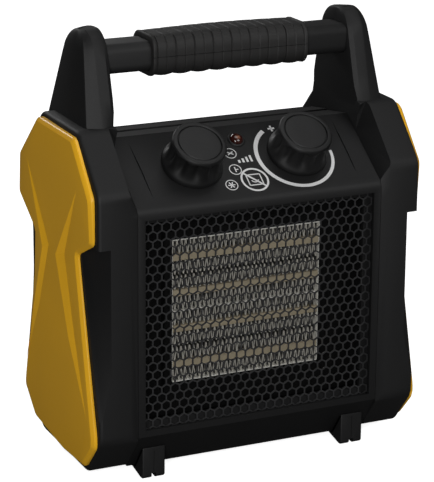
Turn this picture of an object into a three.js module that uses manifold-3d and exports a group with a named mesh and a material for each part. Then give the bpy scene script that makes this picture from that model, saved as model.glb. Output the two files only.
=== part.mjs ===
// Portable ceramic (PTC) fan heater: two side frames with handle towers, a central
// housing with a leaning control panel, a hex-mesh outlet grille and a fan behind it.
// Millimetres, +X to the right of someone facing the front, -Y to the front, +Z up.
// The origin is on the floor under the middle of the heater's bounding box.

import * as THREE from 'three';
import { mergeVertices } from 'three/addons/utils/BufferGeometryUtils.js';
import Module from 'manifold-3d';

const wasm = await Module();
wasm.setup();

// ---- Driving dimensions ----------------------------------------------------

const GAP = 0.3;                 // clearance between pieces that touch
const WALL = 2.5;                // moulded wall of the housings and side frames
const SHEET = 1;                 // pressed metal sheet

// Overall
const FRAME_HALF = 118;          // half width over the two side frames
const HEIGHT = 297;              // floor to the top of the towers
const DEPTH = 130;               // front of the columns to the rear wall
const BASE_Z = 6;                // underside of the housing above the floor

// Front columns and the shoulders of the side frames
const COLUMN_TOP = 201.5;        // where the column starts to lean back
const SHOULDER_Y = 34;
const SHOULDER_Z = 237;
const SKIRT_Y = 22;              // bottom end of the sloping skirt
const SKIRT_Z = 33;              // top end of the sloping skirt
const COLUMN_INNER = 96;         // inner edge of the column's front face
const COLUMN_OUTER = 109.3;      // outer edge where the column is narrow
const STEP_Z = 165;              // below this the column is narrow
const RECESS_FOOT_Z = 42;        // lower end of the recess beside the column
const RECESS_FLARE_Z = 80;       // below this the recess runs out to the corner
const NOTCH_Y = 31;              // recess and side plate reach back to here
const WAIST_Z = 156;             // height of the frames' narrowest place
const WAIST_IN = 12;             // waist in front of the rear wall
const SHOULDER_REAR_IN = 33;     // shoulder ends this far in front of the rear wall

// Central housing
const HOUSING_HALF = 89.5;
const BEZEL_Y = 2;               // bezel face behind the column face
const PANEL_FOOT_Y = 3.8;
const PANEL_FOOT_Z = 190;
const PANEL_TILT = 36;           // degrees above horizontal
const PANEL_LENGTH = 61;         // measured up the slope
const DECK_REAR_IN = 24;         // deck ends this far in front of the rear wall
const DECK_REAR_Z = 218;
const REAR_SLOPE_Z = 194;
const SEAM_Y = 81;               // joint between front panel and rear shell
const SEAM_LIP = 1;              // rear shell stands this much above the front panel

// Towers and handle
const TOWER_INNER = 88;
const TOWER_SPLIT = 91;          // inner cover ends, side frame starts
const TOWER_OUTER = 110.5;       // outer face at the shoulder
const TOWER_DRAFT = 4.5;         // outer face leans in by this much up to the top
const TOWER_FRONT_FOOT = 35;
const TOWER_FRONT_TOP = 52;
const TOWER_REAR_TOP_IN = 43;    // back of the tower in front of the rear wall
const TOWER_REAR_FOOT_IN = 23;
const TOWER_CORNER = 11;
const EDGE = 2.5;                // chamfer on the outer edges of the frames
const BAR_FORWARD = 2.5;         // bar centre in front of the middle of the tower
const BAR_DROP = 19.5;           // bar centre below the tower tops
const BAR_DEEP = 28;
const BAR_TALL = 20;
const BAR_ROUND = 6;
const BAR_WALL = 3;
const BAR_TENON = 7;             // how far the bar passes into each tower
const GRIP_HALF = 57.5;          // half length of the grip
const GRIP_T = 3.4;              // grip thickness round the bar
const GRIP_COLLAR = 5;           // length of the thicker lip at each end
const GRIP_LIP = 1.4;            // how much the lip stands up

// Side plates
const PLATE_T = 4;
const PLATE_STEP = 1.5;          // each raised field stands this much higher
const PLATE_EDGE = 5;            // plate's front edge behind the column face

// Outlet grille and heating element
const OPENING_HALF = 84.4;
const OPENING_LOW = 37.6;
const OPENING_HIGH = 182;
const GRILLE_Y = 8;
const HEX_COLUMNS = 8;           // coarse stand-in for the fine mesh
const HEX_WEB = 3;
const ELEMENT_Y = 24;            // front face of the heating element
const ELEMENT_DEEP = 16;
const ELEMENT_HALF = 55;
const MODULE = 25;               // one rod with a fin pack above and below
const MODULES = 4;
const ROD_T = 4.6;
const FIN_FOLDS = 11;            // coarse stand-in for the fine fins
const FIN_T = 0.9;
const ELEMENT_RIM = 6;
const BAFFLE_SET = 4;            // baffle behind the element's front face
const BAFFLE_T = 2;
const CUTOUT_R = 8;
const CUTOUT_X = 0;              // midway between the switch and the thermostat

// Fan
const FAN_IN = 68;               // front of the fan shroud before the rear wall
const FAN_DEEP = 14;
const FAN_R = 60;
const FAN_TIP_GAP = 2.5;
const BLADES = 5;
const HUB_R = 15;
const SHAFT_R = 2;
const MOTOR_R = 19;
const MOTOR_LONG = 30;
const MOTOR_GAP = 4;
const ARMS = 3;

// Controls
const KNOB_X = 39;
const KNOB_SLOPE = 31.5;         // knob centres, up the slope of the panel
const FLANGE_R = 20.3;
const FLANGE_T = 3.5;
const KNOB_R = 18;
const KNOB_TALL = 22;
const FLUTES = 10;
const CAP_R = 14;
const CAP_T = 1.5;
const SPINDLE_R = 3;
const SPINDLE_UP = 15;
const SWITCH_SIZE = [32, 30, 20];
const THERMOSTAT_SIZE = [34, 32, 22];
const LAMP_SLOPE = 48;
const LAMP_R = 4.5;
const LAMP_LONG = 18;

// Feet and cord inlet
const FOOT_INNER = 67;
const FOOT_WIDE = 16.5;
const FOOT_GROOVE = 3.2;
const FOOT_FRONT_Y = 9;
const FOOT_TOE = 4;
const INLET_X = 62;
const INLET_Z = 48;
const INLET_R = 9;
const INLET_PROUD = 5;

// ---- Derived places --------------------------------------------------------

const TILT = THREE.MathUtils.degToRad(PANEL_TILT);
const PANEL_TOP_Y = PANEL_FOOT_Y + PANEL_LENGTH * Math.cos(TILT);
const PANEL_TOP_Z = PANEL_FOOT_Z + PANEL_LENGTH * Math.sin(TILT);
const DECK_REAR_Y = DEPTH - DECK_REAR_IN;
const TOWER_REAR_TOP = DEPTH - TOWER_REAR_TOP_IN;
const TOWER_REAR_FOOT = DEPTH - TOWER_REAR_FOOT_IN;
const BAR_Y = (TOWER_FRONT_TOP + TOWER_REAR_TOP) / 2 - BAR_FORWARD;
const BAR_Z = HEIGHT - BAR_DROP;
const BAR_HALF = TOWER_SPLIT + BAR_TENON;
const OPENING_MID = (OPENING_LOW + OPENING_HIGH) / 2;
const ELEMENT_TALL = MODULE * MODULES;
const ELEMENT_LOW = OPENING_MID - ELEMENT_TALL / 2;
const ELEMENT_BACK = ELEMENT_Y + ELEMENT_DEEP;
const BAFFLE_Y = ELEMENT_Y + BAFFLE_SET;
const FAN_Y = DEPTH - FAN_IN;
const FAN_MID_Y = FAN_Y + FAN_DEEP / 2;
const MOTOR_Y = FAN_Y + FAN_DEEP + MOTOR_GAP;
const MOTOR_BACK = MOTOR_Y + MOTOR_LONG;
const TOTAL_DEPTH = DEPTH + INLET_PROUD;

// ---- Shape helpers ---------------------------------------------------------

// Local x, y, z of an extrusion become Y, Z, X: an outline seen from the right side.
const SIDEWAYS = new THREE.Matrix4().makeBasis(
  new THREE.Vector3(0, 1, 0), new THREE.Vector3(0, 0, 1), new THREE.Vector3(1, 0, 0));

// Local x, y, z become X, Z, -Y: an outline seen from the front.
const FRONTAL = new THREE.Matrix4().makeBasis(
  new THREE.Vector3(1, 0, 0), new THREE.Vector3(0, 0, 1), new THREE.Vector3(0, -1, 0));

function outline(points) {
  return new THREE.Shape(points.map(([a, b]) => new THREE.Vector2(a, b)));
}

function rectangle(x0, y0, x1, y1) {
  return [[x0, y0], [x1, y0], [x1, y1], [x0, y1]];
}

// A rectangle with rounded corners, centred on (x, y).
function roundedRectangle(wide, tall, radius, x = 0, y = 0) {
  const shape = new THREE.Shape();
  const a = wide / 2 - radius;
  const b = tall / 2 - radius;
  shape.absarc(x + a, y - b, radius, -Math.PI / 2, 0);
  shape.absarc(x + a, y + b, radius, 0, Math.PI / 2);
  shape.absarc(x - a, y + b, radius, Math.PI / 2, Math.PI);
  shape.absarc(x - a, y - b, radius, Math.PI, 1.5 * Math.PI);
  return shape;
}

function extrude(shape, depth, { bevel = 0, grow = 0, segments = 1, curve = 4 } = {}) {
  return new THREE.ExtrudeGeometry(shape, {
    depth: depth - 2 * bevel,
    bevelEnabled: bevel > 0 || grow !== 0,
    bevelThickness: bevel,
    bevelSize: bevel,
    bevelOffset: grow - bevel,
    bevelSegments: segments,
    curveSegments: curve,
  }).translate(0, 0, bevel);
}

// An outline in Y and Z, filled from x0 to x1.
function prismX(shape, x0, x1, options) {
  return extrude(shape, x1 - x0, options).applyMatrix4(SIDEWAYS).translate(x0, 0, 0);
}

// An outline in X and Z, filled from y0 to y1.
function prismY(shape, y0, y1, options) {
  return extrude(shape, y1 - y0, options).applyMatrix4(FRONTAL).translate(0, y1, 0);
}

function box(x0, y0, z0, x1, y1, z1) {
  return new THREE.BoxGeometry(x1 - x0, y1 - y0, z1 - z0)
    .translate((x0 + x1) / 2, (y0 + y1) / 2, (z0 + z1) / 2);
}

// A round bar along Y from y0 to y1.
function roundY(radius, y0, y1, x, z, segments = 24) {
  return new THREE.CylinderGeometry(radius, radius, y1 - y0, segments)
    .translate(x, (y0 + y1) / 2, z);
}

// A round bar along Z from z0 to z1.
function roundZ(radius, z0, z1, x, y, segments = 24) {
  return new THREE.CylinderGeometry(radius, radius, z1 - z0, segments)
    .rotateX(Math.PI / 2).translate(x, y, (z0 + z1) / 2);
}

function toSolid(geometry) {
  const plain = geometry.clone();
  plain.deleteAttribute('normal');
  plain.deleteAttribute('uv');
  const merged = mergeVertices(plain, 1e-4);
  return new wasm.Manifold(new wasm.Mesh({
    numProp: 3,
    vertProperties: new Float32Array(merged.attributes.position.array),
    triVerts: new Uint32Array(merged.index.array),
  }));
}

function toGeometry(solid) {
  const mesh = solid.getMesh();
  const geometry = new THREE.BufferGeometry();
  geometry.setAttribute('position', new THREE.BufferAttribute(mesh.vertProperties, 3));
  geometry.setIndex(new THREE.BufferAttribute(mesh.triVerts, 1));
  return geometry;
}

function join(first, ...rest) {
  return toGeometry(rest.reduce((sum, item) => sum.add(toSolid(item)), toSolid(first)));
}

function cut(first, ...rest) {
  return toGeometry(rest.reduce((sum, item) => sum.subtract(toSolid(item)), toSolid(first)));
}

function common(first, second) {
  return toGeometry(toSolid(first).intersect(toSolid(second)));
}

// The same shape on the other side of the heater.
function mirrored(geometry) {
  const copy = toGeometry(toSolid(geometry)).scale(-1, 1, 1);
  const index = copy.index.array;
  for (let i = 0; i < index.length; i += 3) {
    [index[i], index[i + 1]] = [index[i + 1], index[i]];
  }
  return copy;
}

// ---- Materials -------------------------------------------------------------

function finish(color, roughness, metalness) {
  return () => new THREE.MeshStandardMaterial({ color, roughness, metalness });
}

const blackPlastic = finish(0x1b1b1c, 0.55, 0);
const softBlack = finish(0x222222, 0.75, 0);
const yellowPlastic = finish(0xb58a24, 0.45, 0);
const blackMesh = finish(0x2b2b2c, 0.45, 0.6);
const aluminium = finish(0xb9b4a6, 0.4, 0.9);
const ceramic = finish(0xb7a583, 0.8, 0);
const steel = finish(0x9a9a9c, 0.35, 0.9);
const darkResin = finish(0x141414, 0.7, 0);
const lampRed = finish(0x6a1c0c, 0.2, 0);
const brass = finish(0xb08d4a, 0.35, 0.9);

// ---- Assembly --------------------------------------------------------------

const heater = new THREE.Group();
heater.position.set(0, -TOTAL_DEPTH / 2, 0);

const panel = new THREE.Group();
panel.position.set(0, PANEL_FOOT_Y, PANEL_FOOT_Z);
panel.rotation.x = TILT;
heater.add(panel);

function add(name, geometry, material, parent = heater) {
  const mesh = new THREE.Mesh(geometry, material());
  mesh.name = name;
  parent.add(mesh);
  return mesh;
}

function addPair(name, geometry, material) {
  add(`${name}_right`, geometry, material);
  add(`${name}_left`, mirrored(geometry), material);
}

// ---- Central housing -------------------------------------------------------

const housingOutline = outline([
  [BEZEL_Y, SKIRT_Z], [SKIRT_Y, BASE_Z], [DEPTH - SKIRT_Y, BASE_Z], [DEPTH, SKIRT_Z],
  [DEPTH, REAR_SLOPE_Z], [DECK_REAR_Y, DECK_REAR_Z], [PANEL_TOP_Y, PANEL_TOP_Z],
  [PANEL_FOOT_Y, PANEL_FOOT_Z], [BEZEL_Y, PANEL_FOOT_Z - 4],
]);

function housingShell(x, lift = 0) {
  const skin = prismX(housingOutline, -x, x);
  const hollow = prismX(housingOutline, WALL - x, x - WALL, { grow: -WALL });
  return cut(skin.translate(0, 0, lift), hollow.translate(0, 0, lift));
}

// A cutter through the leaning panel at (x, slope).
function panelHole(radius, x, slope) {
  return roundZ(radius, -2 * WALL, 2 * WALL, x, slope)
    .rotateX(TILT).translate(0, PANEL_FOOT_Y, PANEL_FOOT_Z);
}

const farOut = 2 * FRAME_HALF;
const behindSeam = box(-farOut, SEAM_Y - GAP / 2, -farOut, farOut, farOut, 2 * farOut);
const beforeSeam = box(-farOut, -farOut, -farOut, farOut, SEAM_Y + GAP / 2, 2 * farOut);

add('front_panel', cut(
  housingShell(HOUSING_HALF), behindSeam,
  box(-OPENING_HALF, -5, OPENING_LOW, OPENING_HALF, GRILLE_Y + 5, OPENING_HIGH),
  panelHole(SPINDLE_R + 1, -KNOB_X, KNOB_SLOPE),
  panelHole(SPINDLE_R + 1, KNOB_X, KNOB_SLOPE),
  panelHole(LAMP_R - 0.7, 0, LAMP_SLOPE),
), blackPlastic);

const intakeR = FAN_R + FAN_TIP_GAP;
const intakeGuardT = 2;

function rearShell() {
  const lip = SEAM_LIP;
  const raised = common(housingShell(HOUSING_HALF, lip),
    box(-farOut, SEAM_Y, DECK_REAR_Z - 2 * WALL, farOut, farOut, 2 * farOut));
  const body = cut(housingShell(HOUSING_HALF), beforeSeam);
  return cut(join(body, raised),
    roundY(intakeR, DEPTH - 2 * WALL, DEPTH + WALL, 0, OPENING_MID, 40),
    roundY(INLET_R - 2 + GAP, DEPTH - 2 * WALL, DEPTH + WALL, INLET_X, INLET_Z, 20));
}

add('rear_shell', rearShell(), blackPlastic);

// ---- Side frames -----------------------------------------------------------

const frameOutline = outline([
  [0, SKIRT_Z], [SKIRT_Y, BASE_Z], [DEPTH - 26, BASE_Z + 3], [DEPTH - 4, SKIRT_Z + 1],
  [DEPTH - 3, SKIRT_Z + 13], [DEPTH - WAIST_IN, WAIST_Z - 34], [DEPTH - WAIST_IN, WAIST_Z - 2],
  [DEPTH - 2, WAIST_Z + 16], [DEPTH - 2, COLUMN_TOP + 4.5],
  [DEPTH - SHOULDER_REAR_IN, SHOULDER_Z + 1], [SHOULDER_Y, SHOULDER_Z], [0, COLUMN_TOP],
]);

function towerShape(inset = 0) {
  const top = HEIGHT - inset;
  const shape = new THREE.Shape();
  shape.moveTo(TOWER_FRONT_FOOT + inset - 3, SHOULDER_Z - 12);
  shape.lineTo(TOWER_REAR_FOOT - inset + 3, SHOULDER_Z - 12);
  shape.lineTo(TOWER_REAR_TOP - inset + 2, top - TOWER_CORNER);
  shape.quadraticCurveTo(TOWER_REAR_TOP - inset, top - 1.5, TOWER_REAR_TOP - TOWER_CORNER, top);
  shape.lineTo(TOWER_FRONT_TOP + TOWER_CORNER, top - 0.8);
  shape.quadraticCurveTo(TOWER_FRONT_TOP + inset, top - 2, TOWER_FRONT_TOP + inset - 1,
    top - TOWER_CORNER);
  return shape;
}

// Leans the outer face of a tower in towards the top.
function drafted(geometry) {
  const place = geometry.attributes.position;
  const reach = TOWER_OUTER - TOWER_SPLIT;
  for (let i = 0; i < place.count; i += 1) {
    const up = Math.max(0, (place.getZ(i) - SHOULDER_Z) / (HEIGHT - SHOULDER_Z));
    const out = (place.getX(i) - TOWER_SPLIT) / reach;
    place.setX(i, place.getX(i) - TOWER_DRAFT * up * out);
  }
  return geometry;
}

const frameInner = HOUSING_HALF + GAP;

// The handle bar's section, and the space it takes in each tower.
const barShape = roundedRectangle(BAR_DEEP, BAR_TALL, BAR_ROUND, BAR_Y, BAR_Z);
const barSocket = prismX(barShape, TOWER_INNER - 1, BAR_HALF + GAP, { grow: GAP });

// The pocket beside the narrow part of the column, down to the flared corner. The
// margin grows it into the block that the frame's hollow leaves standing round it.
function columnRecess(margin = 0) {
  const top = STEP_Z + margin;
  const back = NOTCH_Y + margin;
  const side = FRAME_HALF + 1;
  const front = outline([
    [-1 - margin, RECESS_FOOT_Z - 4 * margin], [back, top], [-1 - margin, top],
  ]);
  const floor = outline([
    [COLUMN_OUTER - margin, top + 5], [COLUMN_OUTER - margin, RECESS_FLARE_Z],
    [side - margin, RECESS_FOOT_Z - 4], [side, RECESS_FOOT_Z - 4], [side, top + 5],
  ]);
  return common(prismX(front, COLUMN_OUTER - 2 * WALL, side + 1),
    prismY(floor, -2 - margin, back + 1));
}

// The column's inner edge slopes from its front face down to the bezel.
function columnChamfer() {
  const corner = outline([
    [frameInner - 1, -1], [COLUMN_INNER, -1], [COLUMN_INNER, 0],
    [frameInner, BEZEL_Y], [frameInner - 1, BEZEL_Y],
  ]);
  return extrude(corner, 2 * farOut);
}

const coverFoot = COLUMN_TOP - 3;

// The tower's hollow has a boss that takes the end of the handle bar.
function sideFrame() {
  const body = prismX(frameOutline, frameInner, FRAME_HALF, { bevel: EDGE });
  const bodyHollow = prismX(frameOutline, frameInner - 5, FRAME_HALF - WALL, { grow: -WALL });
  const tower = drafted(prismX(towerShape(), TOWER_SPLIT + GAP, TOWER_OUTER, { bevel: EDGE }));
  const towerHollow = drafted(prismX(towerShape(WALL), TOWER_SPLIT - 5, TOWER_OUTER - WALL));
  const boss = common(tower, prismX(barShape, TOWER_SPLIT + GAP, TOWER_OUTER, {
    grow: GAP + WALL,
  }));
  const coverSeat = box(0, -5, coverFoot - GAP, TOWER_SPLIT + GAP, DEPTH + 5, HEIGHT + 5);
  const shell = cut(join(body, tower), cut(bodyHollow, columnRecess(WALL)), towerHollow);
  return cut(join(shell, boss), coverSeat, columnRecess(), columnChamfer(), barSocket);
}

addPair('side_frame', sideFrame(), blackPlastic);

// The inner face of each tower, closed down to the housing that it stands on.
function towerCover() {
  const plate = join(
    prismX(towerShape(), TOWER_INNER, TOWER_SPLIT, { bevel: 1.2 }),
    prismX(frameOutline, TOWER_INNER, TOWER_SPLIT, { grow: -EDGE }),
  );
  const above = box(0, 0, coverFoot, farOut, DEPTH, HEIGHT + 5);
  const housing = prismX(housingOutline, -FRAME_HALF, FRAME_HALF, { grow: SEAM_LIP + GAP });
  return cut(common(plate, above), housing, barSocket);
}

addPair('tower_cover', towerCover(), blackPlastic);

// ---- Side plates -----------------------------------------------------------

const plateRim = [
  [PLATE_EDGE, STEP_Z + 3.5], [PLATE_EDGE, COLUMN_TOP - 2], [SHOULDER_Y - 0.5, SHOULDER_Z - 3.5],
  [DEPTH - 36, SHOULDER_Z - 2], [DEPTH - 3, COLUMN_TOP + 2.5], [DEPTH - 3, WAIST_Z + 19],
  [DEPTH - 34, WAIST_Z], [DEPTH - 31, WAIST_Z - 29], [DEPTH - 7, SKIRT_Z + 9],
  [DEPTH - 7, SKIRT_Z + 3], [DEPTH - 26, BASE_Z + 12], [58, BASE_Z + 5], [21, BASE_Z + 5],
  [3.5, SKIRT_Z - 3], [3.5, SKIRT_Z + 5], [NOTCH_Y - 5, WAIST_Z - 23], [NOTCH_Y, WAIST_Z],
];
const plateField = [
  [SHOULDER_Y, COLUMN_TOP - 4], [44, SHOULDER_Z - 9], [DEPTH - 41, SHOULDER_Z - 7],
  [DEPTH - 8, COLUMN_TOP + 1], [DEPTH - 8, WAIST_Z + 21], [DEPTH - 38, WAIST_Z],
  [DEPTH - 35, WAIST_Z - 29], [DEPTH - 12, SKIRT_Z + 10], [DEPTH - 12, SKIRT_Z + 5],
  [DEPTH - 30, BASE_Z + 17], [58, BASE_Z + 10], [26, BASE_Z + 10], [17, SKIRT_Z + 22],
  [NOTCH_Y + 21, WAIST_Z - 8],
];
const plateRear = [
  [DEPTH - 20, COLUMN_TOP + 0.5], [DEPTH - 10, COLUMN_TOP - 1.5], [DEPTH - 10, WAIST_Z + 22],
  [DEPTH - 39, WAIST_Z], [DEPTH - 36, WAIST_Z - 29], [DEPTH - 14, SKIRT_Z + 13],
  [DEPTH - 49, WAIST_Z - 26], [DEPTH - 48, WAIST_Z - 6],
];

function sidePlate() {
  const base = FRAME_HALF + GAP;
  const face = base + PLATE_T;
  const rim = prismX(outline(plateRim), base, face, { bevel: 0.8 });
  const field = prismX(outline(plateField), face - 1, face + PLATE_STEP);
  const rear = prismX(outline(plateRear), face - 1, face + 2 * PLATE_STEP);
  return join(rim, field, rear);
}

addPair('side_plate', sidePlate(), yellowPlastic);

// ---- Handle ----------------------------------------------------------------

const barBore = roundedRectangle(BAR_DEEP - 2 * BAR_WALL, BAR_TALL - 2 * BAR_WALL,
  BAR_ROUND - BAR_WALL, BAR_Y, BAR_Z);

add('handle_bar', cut(prismX(barShape, -BAR_HALF, BAR_HALF, { curve: 3 }),
  prismX(barBore, -BAR_HALF - 1, BAR_HALF + 1, { curve: 2 })), blackPlastic);

function gripSleeve() {
  const skin = prismX(barShape, -GRIP_HALF, GRIP_HALF, { grow: GRIP_T, curve: 3 });
  const collar = (x) => prismX(barShape, x - GRIP_COLLAR / 2, x + GRIP_COLLAR / 2,
    { grow: GRIP_T + GRIP_LIP, curve: 3 });
  const inset = GRIP_HALF - GRIP_COLLAR / 2;
  const bore = prismX(barShape, -GRIP_HALF - 1, GRIP_HALF + 1, { grow: GAP, curve: 3 });
  return cut(join(skin, collar(-inset), collar(inset)), bore);
}

const gripTop = box(-farOut, 0, BAR_Z + GAP / 2, farOut, DEPTH, BAR_Z + 50);
const gripBottom = box(-farOut, 0, BAR_Z - 50, farOut, DEPTH, BAR_Z - GAP / 2);
add('grip_upper', common(gripSleeve(), gripTop), softBlack);
add('grip_lower', common(gripSleeve(), gripBottom), softBlack);

// ---- Outlet grille and heating element -------------------------------------

// A sheet pierced with hexagons in staggered rows.
function hexSheet(halfWide, low, high, y0, y1) {
  const shape = outline(rectangle(-halfWide, low, halfWide, high));
  const pitch = (2 * halfWide - HEX_WEB) / HEX_COLUMNS;
  const radius = (pitch - HEX_WEB) / Math.sqrt(3);
  const rowPitch = pitch * Math.sqrt(3) / 2;
  const rows = Math.floor((high - low - 2 * radius - 2 * HEX_WEB) / rowPitch) + 1;
  const firstRow = (low + high) / 2 - (rows - 1) * rowPitch / 2;
  for (let row = 0; row < rows; row += 1) {
    const shift = row % 2;
    for (let column = 0; column < HEX_COLUMNS - shift; column += 1) {
      const x = -halfWide + HEX_WEB / 2 + pitch * (column + 0.5 + shift / 2);
      const z = firstRow + row * rowPitch;
      const hole = new THREE.Path();
      for (let corner = 0; corner < 6; corner += 1) {
        const angle = Math.PI / 6 + corner * Math.PI / 3;
        const [a, b] = [x + radius * Math.cos(angle), z + radius * Math.sin(angle)];
        if (corner === 0) hole.moveTo(a, b);
        else hole.lineTo(a, b);
      }
      hole.closePath();
      shape.holes.push(hole);
    }
  }
  return prismY(shape, y0, y1);
}

// A flat ring between two rectangles.
function rectangularRing(halfWide, low, high, border, y0, y1) {
  const shape = outline(rectangle(-halfWide, low, halfWide, high));
  const hole = rectangle(-halfWide + border, low + border, halfWide - border, high - border);
  shape.holes.push(new THREE.Path(hole.map(([a, b]) => new THREE.Vector2(a, b))));
  return prismY(shape, y0, y1);
}

const grilleHalf = HOUSING_HALF - WALL - GAP;
const grilleLow = OPENING_LOW - 2;
const grilleHigh = OPENING_HIGH + 2;
add('front_grille', hexSheet(OPENING_HALF - GAP, OPENING_LOW + GAP, OPENING_HIGH - GAP,
  GRILLE_Y, GRILLE_Y + SHEET), blackMesh);
add('grille_clamp', rectangularRing(grilleHalf, grilleLow, grilleHigh, 6,
  GRILLE_Y + SHEET + GAP, GRILLE_Y + SHEET + GAP + 3), blackPlastic);

const ringHalf = ELEMENT_HALF + ELEMENT_RIM;
const ringLow = ELEMENT_LOW - ELEMENT_RIM;
const ringHigh = ELEMENT_LOW + ELEMENT_TALL + ELEMENT_RIM;
add('element_frame', rectangularRing(ringHalf, ringLow, ringHigh, ELEMENT_RIM - GAP,
  ELEMENT_Y, ELEMENT_BACK), darkResin);

function airBaffle() {
  const back = BAFFLE_Y + BAFFLE_T;
  const sheet = box(-grilleHalf, BAFFLE_Y, grilleLow, grilleHalf, back, OPENING_HIGH - 4);
  return cut(sheet, box(-ringHalf - GAP, BAFFLE_Y - 1, ringLow - GAP,
    ringHalf + GAP, back + 1, ringHigh + GAP));
}

add('air_baffle', airBaffle(), darkResin);

// A folded strip whose waves run along X between z0 and z1.
function finPack(z0, z1) {
  const half = ELEMENT_HALF - 1;
  const step = 2 * half / FIN_FOLDS;
  const line = [];
  for (let fold = 0; fold <= FIN_FOLDS; fold += 1) {
    line.push([-half + fold * step, fold % 2 ? z1 : z0]);
  }
  const lower = line.map(([x, z], i) => [x, i % 2 ? z - 2 * FIN_T : z]);
  const upper = line.map(([x, z], i) => [x, i % 2 ? z : z + 2 * FIN_T]).reverse();
  return prismY(outline([...lower, ...upper]), ELEMENT_Y + 1, ELEMENT_BACK - 1);
}

for (let i = 0; i < MODULES; i += 1) {
  const mid = ELEMENT_LOW + MODULE * (i + 0.5);
  const reach = MODULE / 2 - GAP;
  const rodFace = ROD_T / 2;
  add(`ptc_rod_${i + 1}`, box(-ELEMENT_HALF, ELEMENT_Y + 0.5, mid - rodFace,
    ELEMENT_HALF, ELEMENT_BACK - 0.5, mid + rodFace), ceramic);
  add(`fin_pack_${2 * i + 1}`, finPack(mid - reach, mid - rodFace - GAP), aluminium);
  add(`fin_pack_${2 * i + 2}`, finPack(mid + rodFace + GAP, mid + reach), aluminium);
}

add('thermal_cutout', join(
  roundZ(CUTOUT_R, 0, 6, 0, 0, 20),
  box(-CUTOUT_R - 3, -3, 5, CUTOUT_R + 3, 3, 7),
).translate(CUTOUT_X, BAFFLE_Y + BAFFLE_T + GAP + CUTOUT_R, ringHigh + GAP), steel);

// ---- Fan -------------------------------------------------------------------

const shroudHalf = HOUSING_HALF - WALL - 2;
const shroudLow = BASE_Z + WALL + 4;
const shroudBack = FAN_Y + FAN_DEEP;

function fanShroud() {
  const plate = box(-shroudHalf, FAN_Y, shroudLow, shroudHalf, FAN_Y + 2.5, OPENING_HIGH);
  const ring = roundY(intakeR + WALL, FAN_Y, shroudBack, 0, OPENING_MID, 40);
  const bore = roundY(intakeR, FAN_Y - 1, shroudBack + 1, 0, OPENING_MID, 40);
  const outer = intakeR + WALL / 2;
  const arms = [];
  for (let i = 0; i < ARMS; i += 1) {
    const arm = box(MOTOR_R - 3, shroudBack + 1.5, -4, outer, shroudBack + MOTOR_GAP, 4);
    const post = box(intakeR, shroudBack - 1, -4, outer, shroudBack + MOTOR_GAP, 4);
    const angle = Math.PI / 2 + i * 2 * Math.PI / ARMS;
    arms.push(join(arm, post).rotateY(angle).translate(0, 0, OPENING_MID));
  }
  const seat = roundY(MOTOR_R + 1, shroudBack + 1.5, shroudBack + MOTOR_GAP, 0, OPENING_MID);
  const shaftHole = roundY(SHAFT_R + 1.5, shroudBack, MOTOR_Y + 1, 0, OPENING_MID);
  return cut(join(cut(join(plate, ring), bore), ...arms, seat), shaftHole);
}

add('fan_shroud', fanShroud(), darkResin);

// One blade: a plate set at an angle across the hub, cut to the fan's radius.
function blade(turn) {
  const wide = 34;
  const sweep = THREE.MathUtils.degToRad(24);
  return box(HUB_R - 2, -0.9, -wide / 2, FAN_R, 0.9, wide / 2)
    .rotateX(sweep).rotateY(turn);
}

function impeller() {
  const hub = roundY(HUB_R, -FAN_DEEP / 2 + 1, FAN_DEEP / 2 - 1, 0, 0, 24);
  const tips = roundY(FAN_R, -FAN_DEEP, FAN_DEEP, 0, 0, 40);
  const blades = [];
  for (let i = 0; i < BLADES; i += 1) blades.push(blade(i * 2 * Math.PI / BLADES));
  const bore = roundY(SHAFT_R + GAP, -FAN_DEEP, FAN_DEEP, 0, 0, 16);
  return cut(common(join(hub, ...blades), tips), bore).translate(0, FAN_MID_Y, OPENING_MID);
}

add('fan_impeller', impeller(), darkResin);
add('motor_shaft', roundY(SHAFT_R, FAN_Y + 1, MOTOR_Y + 10, 0, OPENING_MID, 16), steel);
add('fan_motor', cut(
  join(roundY(MOTOR_R, MOTOR_Y + GAP, MOTOR_BACK, 0, OPENING_MID, 32),
    roundY(6, MOTOR_BACK - 1, MOTOR_BACK + 3, 0, OPENING_MID, 20)),
  roundY(SHAFT_R + GAP, MOTOR_Y - 1, MOTOR_Y + 12, 0, OPENING_MID, 16),
), steel);

for (const [i, side] of [-1, 1].entries()) {
  const x = side * (MOTOR_R - 6);
  add(`motor_screw_${i + 1}`, roundY(2.6, shroudBack - 0.8, shroudBack + 1.5 - GAP, x,
    OPENING_MID, 12), steel);
}

// Round intake guard: rings joined by bars.
function rearGuard() {
  const y0 = DEPTH - intakeGuardT;
  const ringSet = [];
  for (let radius = 12; radius < intakeR - 3; radius += 12) {
    ringSet.push(cut(roundY(radius, y0, DEPTH, 0, 0, 24), roundY(radius - 3, y0 - 1,
      DEPTH + 1, 0, 0, 24)));
  }
  const rim = cut(roundY(intakeR - GAP, y0, DEPTH, 0, 0, 40),
    roundY(intakeR - 5, y0 - 1, DEPTH + 1, 0, 0, 40));
  const bars = [];
  for (let i = 0; i < 4; i += 1) {
    bars.push(box(-intakeR + 2, y0, -2, intakeR - 2, DEPTH, 2).rotateY(i * Math.PI / 4));
  }
  return join(rim, ...ringSet, ...bars).translate(0, 0, OPENING_MID);
}

add('rear_guard', rearGuard(), blackPlastic);

// ---- Controls --------------------------------------------------------------

// A round outline with scallops pressed into it.
function flutedOutline(radius, depth) {
  const points = [];
  const steps = FLUTES * 4;
  for (let i = 0; i < steps; i += 1) {
    const angle = i * 2 * Math.PI / steps;
    const dip = Math.max(0, Math.cos(FLUTES * angle)) * depth;
    points.push([(radius - dip) * Math.cos(angle), (radius - dip) * Math.sin(angle)]);
  }
  return outline(points);
}

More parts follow.
